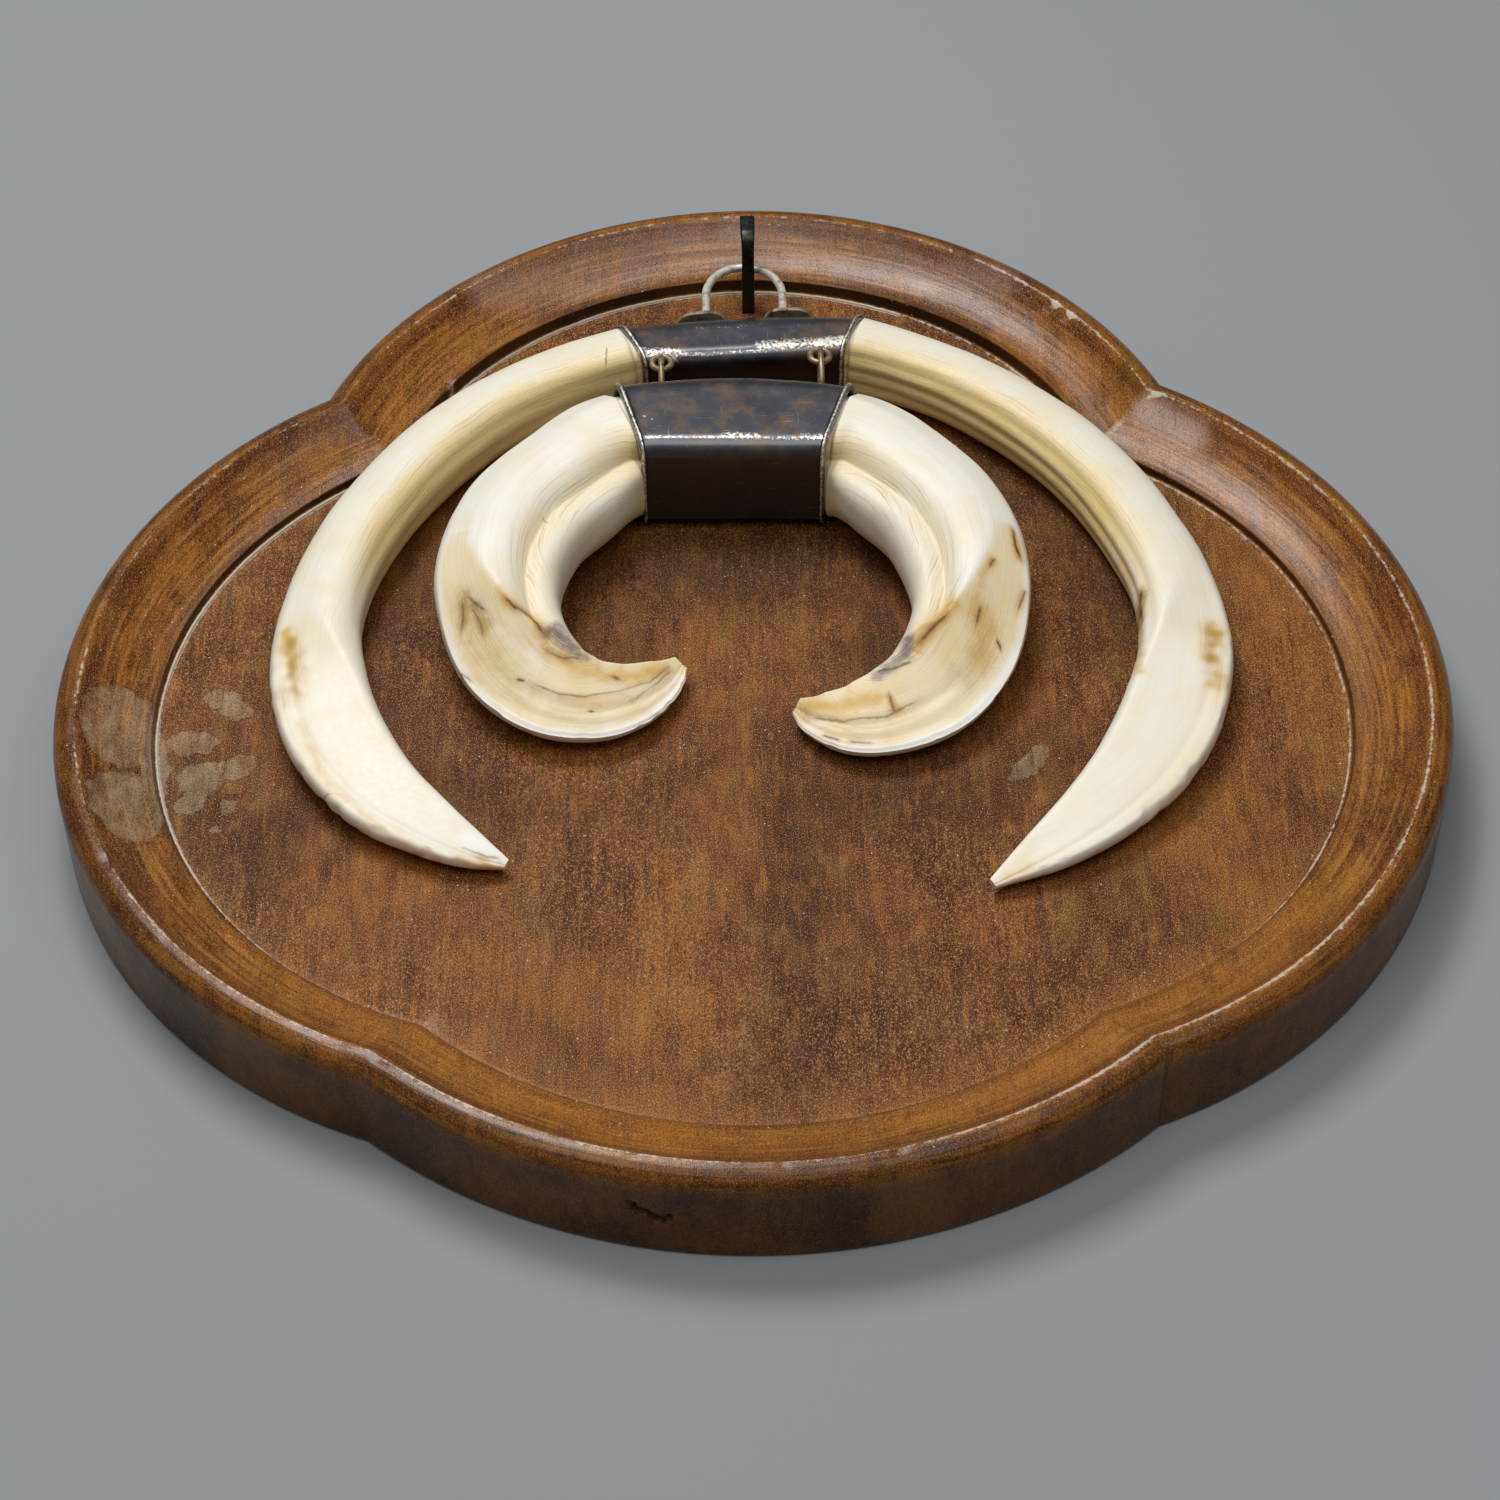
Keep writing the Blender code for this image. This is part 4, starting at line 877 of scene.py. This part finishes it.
def outerSection(spec, halfWidth, halfHeight, along, degrees):
    # rounded triangle with a fluted inner flank, ground flat towards the tip
    form = tuskForm
    a = np.radians(degrees)
    worn = smoothStep(along, *form["outerWorn"])
    reach = squaredEllipse(halfWidth, halfHeight, a, rootedPower(along, "outer", form["outerSquareness"]))
    reach = reach * (1 + form["outerRise"] * np.cos(3 * np.radians(degrees - form["outerRidge"])))
    flute = np.zeros(len(degrees))
    for first, last, angle, width, depth in spec["flutes"]:
        strength = smoothStep(along, first, first + 0.08) * (1 - smoothStep(along, last, last + 0.14))
        flute += strength * turnedHump(degrees, angle, width) * depth
    reach = reach * (1 - flute)
    u, v = reach * np.cos(a), reach * np.sin(a)
    top, ground = groundTop(u, v, halfWidth, halfHeight, worn, form["outerPlane"])
    top = top - 0.22 * worn * hump(u / halfWidth, 0.62, 0.1)
    return u, top, ground * (worn > 0), flute / 0.06


def innerSection(spec, halfWidth, halfHeight, along, degrees):
    # thick outer lobe, deep groove and slim inner rib, then a ground face with low furrows and an enamel rim
    form = tuskForm
    a = np.radians(degrees)
    worn = smoothStep(along, *form["innerWorn"])
    rib = 1 - smoothStep(along, *form["grooveEnds"])
    near, far = form["grooveAngles"]
    centre = near + (far - near) * min(1.0, along / form["grooveBend"])
    off = (degrees - centre + 180) % 360 - 180
    lobeSide, ribSide = form["grooveWidth"]
    valley = np.exp(-np.abs(off / np.where(off < 0, lobeSide, ribSide)) ** 1.5)
    reach = squaredEllipse(halfWidth, halfHeight, a, rootedPower(along, "inner", form["innerSquareness"]))
    reach = reach * (1 - form["grooveDepth"] * rib * valley)
    u, v = reach * np.cos(a), reach * np.sin(a)
    top, ground = groundTop(u, v, halfWidth, halfHeight, worn, form["innerPlane"])
    share = u / halfWidth
    settled = smoothStep(along, 0.62, 0.74)
    low = sum(depth * halfHeight * settled * ground * hump(share, place, spread)
              for place, spread, depth in spec["furrows"])
    rim = form["rimRise"] * settled * hump(share, form["rimPlace"], form["rimWidth"]) * (v > 0)
    return u, top - low + rim, ground * (worn > 0.02), rib * valley


def makeTusk(name, spec, material):
    form = tuskForm
    table = tuskTable(spec)
    last = len(table) - 1
    outer = spec["collar"] == "outer"
    count = form["roundOuter" if outer else "roundInner"]
    degrees = 360 * np.arange(count) / count
    section = outerSection if outer else innerSection
    centres = table[:, :3]
    ahead = np.gradient(centres, axis=0)
    ahead /= np.linalg.norm(ahead, axis=1)[:, None]
    outward = np.cross(ahead, [0, 0, 1.0]) * -spec["side"]
    outward /= np.linalg.norm(outward, axis=1)[:, None]
    upward = np.cross(ahead, outward) * spec["side"]
    travelled = np.concatenate([[0], np.cumsum(np.linalg.norm(np.diff(centres, axis=0), axis=1))])
    grid = np.zeros((last + 1, count, 3))
    ground, hollow, share = (np.zeros((last + 1, count)) for _ in range(3))
    beyond = travelled - travelled[(len(form["rootEnds"]) - 1) * form["stations"]]
    tucks = form["tuck"] * (1 - smoothStep(beyond, *form["swell"]))
    for i, (halfWidth, halfHeight) in enumerate(table[:, 3:] - tucks[:, None]):
        u, v, ground[i], hollow[i] = section(spec, halfWidth, halfHeight, i / last, degrees)
        share[i] = u / halfWidth
        grid[i] = centres[i] + outward[i] * u[:, None] + upward[i] * v[:, None]
    points = grid.reshape(-1, 3)
    ground, hollow, share = ground.ravel(), np.clip(hollow.ravel(), 0, 1), share.ravel()
    along = np.repeat(np.arange(last + 1) / last, count)
    around = np.tile(degrees, last + 1)
    middle = np.repeat(centres, count, axis=0)
    away = points - middle
    away /= np.maximum(np.linalg.norm(away, axis=1), 1e-6)[:, None]
    tip = 1 - smoothStep(along, 0.93, 1.0)
    root = smoothStep(along, 0.16, 0.24)
    bumps = unevenness(points, form["bumps"])
    size, offset, depth = form["chips"]
    chips = np.maximum(0, roughNoise(points, size, offset) - form["chipFrom"]) * depth
    chips *= hump(share, 0.97, 0.12) * smoothStep(along, 0.6, 0.7)
    points += away * ((bumps - chips) * tip * root)[:, None]
    upper = smoothStep(points[:, 2] - middle[:, 2], -4.0, -1.0)
    inward = smoothStep(-np.cos(np.radians(around)), 0.0, 0.8)
    under = 1 - upper
    # cream on the ground faces, the inner flank near the collar, the flutes and groove, and the lower half:
    # on the lower half and in the hollows it is painted shade, on the flank partly the ivory's own yellow and
    # partly painted shade
    if outer:
        flank = inward * (1 - smoothStep(along, 0.45, 0.62))
        cream = 0.7 * flank + 0.25 * hollow + 0.1 + 0.12 * ground + 0.2 * under
        lines = 0.2 + 0.7 * flank
    else:
        mouth = 0.35 * inward * (1 - smoothStep(along, 0.24, 0.34))
        enamel = 0.45 * hump(share, 0.93, 0.08) * ground
        cream = 0.28 * hollow + 0.5 * ground + 0.1 * inward + mouth + 0.3 * under - enamel
        lines = 0.1 + 0.75 * hump(hollow, 0.7, 0.5) * (1 - ground) + 0.3 * inward + 0.25 * ground
    marks = {}
    blotchy = roughNoise(points, *form["blotchSize"])
    size, reach = form["wobble"]
    wobble = points[:, :2] + reach * wandering(points, size)
    for key in ("ochre", "olive", "dark", "chalk"):
        mask = strokes(wobble, spec[key], 2, form["widen"])
        broken = (0.7 if outer else 0.25) * blotchy * (key in ("ochre", "olive"))
        marks[key] = np.clip(mask * upper * (0.95 + broken), 0, 1)
    if outer:
        # olive on the inner flank near the collar: partly the ivory's own colour, partly painted shade
        marks["olive"] = np.maximum(marks["olive"], 0.42 * flank)
    # cracks: how strong the nearest one is, and the signed distance that the shader makes a thin line of
    vein, veinSide = np.zeros(len(points)), np.full(len(points), 5.0)
    for path, strength in spec["vein"]:
        off, signed, at = nearLine(points, path)
        nearer = off < np.abs(veinSide)
        ends = smoothStep(at, -0.02, 0.12) * (1 - smoothStep(at, 0.88, 1.02)) if len(path) > 2 else 1.0
        vein = np.where(nearer, strength * ends * np.exp(-(off / form["crackNear"]) ** 4), vein)
        veinSide = np.where(nearer, signed, veinSide)
    marks["vein"], marks["veinSide"] = vein * upper, veinSide
    girth = np.repeat(table[:, 3], count)
    attributes = {"cream": np.clip(cream, 0, 1), "lines": np.clip(lines, 0, 1),
                  "lengthwise": np.repeat(travelled, count), "across": np.radians(around) * girth, **marks}
    skin(name + "Tusk", points.reshape(last + 1, count, 3), material, spec["body"],
         [spec["node"]], attributes, sharp=70)


tuskSurface = polishedTusk()
for tuskName, tuskSpec in tusks.items():
    makeTusk(tuskName, tuskSpec, tuskSurface)
print("tusks made")


# Blackened silver: sheet silver gone dark with age, then rubbed. The eye sees a near-black metal
# with a soft grey sheen, fine scratches, and bright speckled silver along the edges that are touched,
# with a painted highlight along the front ridge and a top painted lighter than the front

silver = {
    "black": "3A3B41",
    "litSlate": "5E6068",
    "brownTarnish": "75604E",
    "bright": "EDE8DC",
    "wire": "FAF5E8",
    "wireTarnish": "A38F72",
    "soot": "4E4338",
    # sizes in millimetres, turn in radians, detail. Real scratches are finer: drawn 0.35 mm wide to show
    "patterns": {
        "scratches": ((9, 0.35, 0.35), 0.5, 2),
        "crossing": ((0.35, 9, 0.35), 0.35, 2),
        "grain": ((0.7, 0.7, 0.7), 0, 5),
        "clouds": ((7, 7, 7), 0, 6),
    },
    "patternRoughness": 0.66,
    "litSlateOnTop": 0.5,
    "tarnishFrom": (0.47, 0.62, 0.8),
    "scratchFrom": (0.69, 0.76, 0.25),
    "rubFrom": (0.96, 1.14),
    "roughness": (0.42, 0.58),
    "wireRoughness": (0.35, 0.55),
    "wireCloud": 2.0,
}


def blackenedSilver():
    material, add, shader = newMaterial("blackened silver sheet", {
        "Metallic": 1.0, "Coat Weight": 0.9, "Coat Roughness": 0.22, "Coat IOR": 1.6})
    place = add("TexCoord", out="Object")
    rubbedAndLit, level = [add("Attribute", out="Fac", attribute_name=name) for name in ("rubbedAndLit", "upper")]
    noises = sizedNoises(add, place, silver["patterns"], silver["patternRoughness"])
    # the top is painted lighter slate than the near-black front: painted light where the top faces the lamps
    litSlate = add("Math", {0: level, 1: silver["litSlateOnTop"]}, **product)
    low, high, strength = silver["tarnishFrom"]
    patchy = add("MapRange", {0: noises["clouds"], 1: low, 2: high, 4: strength})
    tarnish = add("Math", {0: patchy, 1: level}, operation="MULTIPLY")
    masks = [(litSlate, silver["litSlate"]), (tarnish, silver["brownTarnish"])]
    low, high, strength = silver["scratchFrom"]
    for name in ("scratches", "crossing"):
        masks.append((add("MapRange", {0: noises[name], 1: low, 2: high, 4: strength}), silver["bright"]))
    speckle = add("Math", {0: rubbedAndLit, 1: noises["grain"]}, operation="ADD")
    low, high = silver["rubFrom"]
    masks.append((add("MapRange", {0: speckle, 1: low, 2: high}), silver["bright"]))
    smooth, rough = silver["roughness"]
    plugIn(shader, {
        "Base Color": layeredColour(add, silver["black"], masks),
        "Roughness": add("MapRange", {0: noises["clouds"], 1: 0.3, 2: 0.7, 3: smooth, 4: rough}),
        "Normal": stackedBumps(add, [(noises["grain"], 0.45, 0.08)]),
    })
    return material


def silverWire(name, bright, tarnish):
    # drawn silver wire: bright where it is handled, brown in its joints
    material, add, shader = newMaterial(name, {"Metallic": 0.6})
    place = add("TexCoord", out="Object")
    clouds = add("TexNoise", {"Vector": place, "Scale": 1 / (silver["wireCloud"] * mm), "Detail": 5.0})
    dull = add("MapRange", {0: clouds, 1: 0.5, 2: 0.7})
    smooth, rough = silver["wireRoughness"]
    plugIn(shader, {
        "Base Color": layeredColour(add, silver[bright], [(dull, silver[tarnish])]),
        "Roughness": add("MapRange", {0: clouds, 1: 0.3, 2: 0.7, 3: smooth, 4: rough}),
    })
    return material


def roundedSection(halfWidth, halfHeight, backRadius, frontRadius, steps):
    # the corners of a rounded rectangle in turn, from the upper back one
    points = []
    for quarter in range(4):
        isBack = quarter in (0, 3)
        radius = backRadius if isBack else frontRadius
        u = (halfWidth - radius) * (1 if isBack else -1)
        v = (halfHeight - radius) * (1 if quarter < 2 else -1)
        for a in np.radians(90 * quarter + np.linspace(0, 90, steps)):
            points.append((u + radius * math.cos(a), v + radius * math.sin(a)))
    return points


def collarSection(spec, grow):
    # outline of a collar: u to the back, v up, with close points on the corners and some on the flats
    points = roundedSection(spec["halfDepth"] + grow, spec["halfHeight"] + grow, spec["backCorner"] + grow,
                            spec["frontCorner"] + grow, collarMake["cornerSteps"])
    ring = []
    for i, point in enumerate(points):
        ring.append(point)
        if (i + 1) % collarMake["cornerSteps"] == 0:
            ahead = points[(i + 1) % len(points)]
            ring += [tuple(np.array(point) * (1 - t) + np.array(ahead) * t)
                     for t in np.linspace(0, 1, collarMake["flatSteps"])[1:-1]]
    return np.array(ring)


def collarRing(spec, s, grow):
    # one section; s runs from -1 at the left mouth to 1 at the right one
    outline = collarSection(spec, grow)
    lean = math.tan(math.radians(spec["splay"]) * s)
    u, v = outline[:, 0], outline[:, 1]
    share = 0.5 + 0.5 * u / spec["halfDepth"]
    x, y = toBoard(spec, spec["halfLength"] * s + u * lean, u - spec["sag"] * share * s * s)
    return np.column_stack([x, y, collarLevel(spec) + v])


def makeCollar(name, key, node, body, material):
    spec, rubsAndHighlight = collars[key], collarRubsAndRidgeHighlights[key]
    rim = collarMake["rimLength"] / spec["halfLength"]
    flare = [(-1 + place * rim, size * collarMake["rimOut"]) for place, size in collarMake["rimShape"]]
    stations = flare + [(s, 0.0) for s in np.linspace(-0.88, 0.88, collarMake["bodySteps"])]
    stations += [(-s, grow) for s, grow in reversed(flare)]
    rings = [collarRing(spec, s, grow) for s, grow in stations]
    places = [s for s, _ in stations]
    inside = np.linspace(1, -1, collarMake["cornerSteps"])
    rings += [collarRing(spec, s, -collarMake["sheet"]) for s in inside]
    places += list(inside)
    grid = np.array(rings)
    rows, columns = grid.shape[:2]
    points = grid.reshape(-1, 3)
    isOut = np.repeat(np.arange(rows) < len(stations), columns)
    dents = unevenness(points, collarMake["dents"])
    level = collarLevel(spec)
    centre = np.array([spec["middle"][0], spec["middle"][1], level])
    away = points - centre
    away[:, 0] = 0
    away /= np.maximum(np.linalg.norm(away, axis=1), 1e-6)[:, None]
    points += away * (np.minimum(dents, 0.02) * isOut)[:, None]
    s = np.repeat(places, columns)
    rimEdge = hump(np.abs(s), 1 - 0.35 * rim, 0.45 * rim) * collarMake["rimRub"] * isOut
    # rubbed rims and places, with the painted highlight along the front ridge
    rubbedAndLit = np.maximum(strokes(points, rubsAndHighlight) * (points[:, 2] > level + 2), rimEdge)
    # how high on the collar; the shader paints the upper part lighter slate, which is painted light
    upper = smoothStep(points[:, 2] - level, 0.35 * spec["halfHeight"], spec["halfHeight"]) * isOut
    skin(name, points.reshape(rows, columns, 3), material, body, [node],
         {"rubbedAndLit": rubbedAndLit, "upper": upper}, closed=True, sharp=50)


# bright rubbed places on the collars, and a painted highlight line along each front ridge, drawn on the
# board's plane (points, half width, strength)
collarRubsAndRidgeHighlights = {
    "outer": [([(-26, 89.6), (-10, 89.6), (6, 90.6), (24.5, 91.6)], 0.7, 0.5),
              ([(4, 92), (24.5, 93.2)], 2.6, 0.55), ([(-26.5, 90.4), (-17, 89.8)], 2.4, 0.55),
              ([(18, 92.4), (24.5, 93.2)], 2.4, 0.62), ([(-12, 98.5), (4, 99.5)], 2, 0.4)],
    "inner": [([(-26, 49.4), (-2, 48.7), (19.5, 48)], 0.8, 0.52), ([(-25, 57), (-21.5, 55)], 0.7, 0.55),
              ([(-6, 50), (2, 49.2)], 1.6, 0.5), ([(13, 49.6), (19, 48.8)], 1.3, 0.5)],
}


def tube(path, radius, sides=14, closed=False):
    # rings of a round wire along a path in millimetres
    path = np.asarray(path, float)
    if closed:
        ahead = np.roll(path, -1, axis=0) - np.roll(path, 1, axis=0)
    else:
        ahead = np.gradient(path, axis=0)
    ahead /= np.linalg.norm(ahead, axis=1)[:, None]
    normal = np.cross(ahead[0], [0.3, 0.5, 0.8])
    rings = []
    for point, direction in zip(path, ahead):
        normal = normal - direction * (normal @ direction)
        normal /= np.linalg.norm(normal)
        side = np.cross(direction, normal)
        angles = 2 * np.pi * np.arange(sides) / sides
        rings.append(point + radius * (np.cos(angles)[:, None] * normal + np.sin(angles)[:, None] * side))
    return np.array(rings)


# The wire loop with its leaf feet, the eyes and links, and the hook, in millimetres
fittings = {
    "wire": 1.05, "bailX": 0.3, "bailHalf": 9.7, "bailMiddle": 117.6, "bailSlack": 0.8,
    "bailHeights": (29.3, 25.2), "leafReach": (4.6, 17.4), "leafHeights": (22.5, 31.2), "leafDrop": 3.4,
    "leafThickness": 1.1, "linksX": (-20.6, 18.6), "linkHeight": 32, "linkWire": 0.7, "linkSquash": 0.84,
    "eyeWire": 0.8, "eyeRadius": 2.4, "eyeStand": 1.7, "hookX": 1.5, "hookY": 128, "hookReach": 24.6,
    "hookTongue": 7.4, "hookDepth": 8, "hookPoint": 3, "hookBend": 2.2, "hookHalf": 1.6, "hookFlare": 1.2,
    "hookTaper": 0.8, "hookCorner": 0.3,
}


def collarBack(spec, x):
    offset = x - spec["middle"][0]
    reach = spec["halfLength"] + spec["halfDepth"] * math.tan(math.radians(spec["splay"]))
    y = spec["halfDepth"] - spec["sag"] * (offset / reach) ** 2
    return spec["middle"][1] + y + offset * math.tan(math.radians(spec["turn"]))


def collarFront(spec, x, z):
    offset = x - spec["middle"][0]
    corner = spec["frontCorner"]
    over = max(0.0, z - collarLevel(spec) - spec["halfHeight"] + corner)
    recess = corner - math.sqrt(corner ** 2 - over ** 2)
    return spec["middle"][1] - spec["halfDepth"] + recess + offset * math.tan(math.radians(spec["turn"]))


def makeEyesAndLinks(material):
    f = fittings
    turns = np.radians(np.arange(0, 360, 10))
    for x, side in zip(f["linksX"], ("Left", "Right")):
        outerY = collarFront(collars["outer"], x, f["linkHeight"]) - f["eyeStand"]
        innerY = collarBack(collars["inner"], x) + f["eyeStand"]
        for name, y, body in (("outerEye", outerY, "plaque"), ("innerEye", innerY, "inner_pair")):
            path = [(x + f["eyeRadius"] * math.cos(t), y + f["eyeRadius"] * math.sin(t), f["linkHeight"])
                    for t in turns]
            skin(name + side, tube(path, f["eyeWire"]), material, body, closed=True)
        middle, radius = (outerY + innerY) / 2, (outerY - innerY) / 2
        # slightly oval, so that the inner collar clears the link when it is lifted
        path = [(x, middle + radius * math.cos(t), f["linkHeight"] + radius * f["linkSquash"] * math.sin(t))
                for t in turns]
        skin("link" + side, tube(path, f["linkWire"]), material, "plaque",
             ["link_" + side.lower()], closed=True)


def makeHangingRing(material, footMaterial):
    f = fittings
    tip = f["hookY"] + f["hookHalf"] + f["bailSlack"] + f["wire"]
    feet = [collarBack(collars["outer"], f["bailX"] + side * f["bailHalf"])
            + collarMake["gap"] + f["leafThickness"] / 2 for side in (-1, 1)]
    flat = [(f["bailX"] - f["bailHalf"], y) for y in np.linspace(feet[0], f["bailMiddle"] - 0.8, 8)]
    flat += [(f["bailX"] + f["bailHalf"] * math.cos(a),
              f["bailMiddle"] + (tip - f["bailMiddle"]) * math.sin(a))
             for a in np.radians(np.linspace(180, 0, 40))]
    flat += [(f["bailX"] + f["bailHalf"], y) for y in np.linspace(f["bailMiddle"] - 0.8, feet[1], 8)]
    high, low = f["bailHeights"]
    path = [(x, y, high + (low - high) * (y - feet[0]) / (tip - feet[0])) for x, y in flat]
    skin("hangingRing", tube(path, f["wire"], 18), material, "plaque", ["hanging_ring"])
    near, far = f["leafReach"]
    foot, top = f["leafHeights"]
    for side, name in ((-1, "Left"), (1, "Right")):
        rings = []
        for t in 0.5 - 0.5 * np.cos(np.pi * np.linspace(0, 1, 26)):
            x = f["bailX"] + side * (near + (far - near) * t)
            crest = top - f["leafDrop"] * (2 * t - 1) ** 4
            back = collarBack(collars["outer"], x) + collarMake["gap"]
            thick = f["leafThickness"]
            ring = [(x, back, foot), (x, back + thick, foot), (x, back + thick, crest - 0.3),
                    (x, back + thick * 0.7, crest), (x, back + thick * 0.3, crest), (x, back, crest - 0.3)]
            rings.append(ring)
        skin("ringFoot" + name, np.array(rings), footMaterial, "plaque", sharp=40)


iron = {
    "scale": "2B2F29",
    "worn": "514D41",
    "grain": 0.9,                   # of the forge scale, in millimetres
    "roughness": (0.26, 0.46),
}


def blackIron():
    # forged square bar, blackened: dull black with brighter worn places
    material, add, shader = newMaterial("blackened forged iron", {"Metallic": 0.8})
    place = add("TexCoord", out="Object")
    scale = add("TexNoise", {"Vector": place, "Scale": 1 / (iron["grain"] * mm), "Detail": 4.0})
    mask = add("MapRange", {0: scale, 1: 0.5, 2: 0.75, 4: 0.5})
    smooth, rough = iron["roughness"]
    plugIn(shader, {
        "Base Color": layeredColour(add, iron["scale"], [(mask, iron["worn"])]),
        "Roughness": add("MapRange", {0: scale, 1: 0.3, 2: 0.7, 3: smooth, 4: rough}),
        "Normal": stackedBumps(add, [(scale, 0.3, 0.1)]),
    })
    return material


def makeHook(material):
    f = fittings
    foot, top = board["field"] - f["hookDepth"], board["field"] + f["hookReach"] - f["hookHalf"]
    y = f["hookY"]
    stations = [(y, foot, 90, f["hookTaper"]), (y, foot + f["hookPoint"], 90, 1.0)]
    stations += [(y, z, 90, 1.0) for z in np.linspace(foot + 5, top - f["hookBend"] - 0.5, 12)]
    for lean in np.linspace(90, 0, 9):
        a = math.radians(lean)
        size = 1 + 0.5 * (f["hookFlare"] - 1) * (1 - lean / 90)
        stations.append((y + f["hookBend"] * (1 - math.sin(a)), top - f["hookBend"] * (1 - math.cos(a)),
                         lean, size))
    middle = 1 + 0.5 * (f["hookFlare"] - 1)
    for t in np.linspace(0, 1, 7)[1:]:
        out = f["hookBend"] + (f["hookTongue"] - f["hookBend"]) * t
        stations.append((y + out, top, 0, middle + (f["hookFlare"] - middle) * t))
    rings = []
    for y, z, lean, size in stations:
        half = f["hookHalf"] * size
        a = math.radians(lean)
        across = np.array([0, math.sin(a), -math.cos(a)])
        corner = f["hookCorner"] * half
        rings.append([np.array([f["hookX"] + u, y, z]) + across * v
                      for u, v in roundedSection(half, half, corner, corner, 5)])
    skin("forgedHook", np.array(rings), material, "plaque", ["hook"], sharp=35)


darkSheet = blackenedSilver()
makeCollar("outerCollar", "outer", "outer_collar", "plaque", darkSheet)
makeCollar("innerCollar", "inner", "inner_collar", "inner_pair", darkSheet)
tarnishedWire = silverWire("tarnished silver wire", "wireTarnish", "soot")
makeEyesAndLinks(tarnishedWire)
makeHangingRing(silverWire("drawn silver wire", "wire", "wireTarnish"), tarnishedWire)
makeHook(blackIron())
print("metal made")
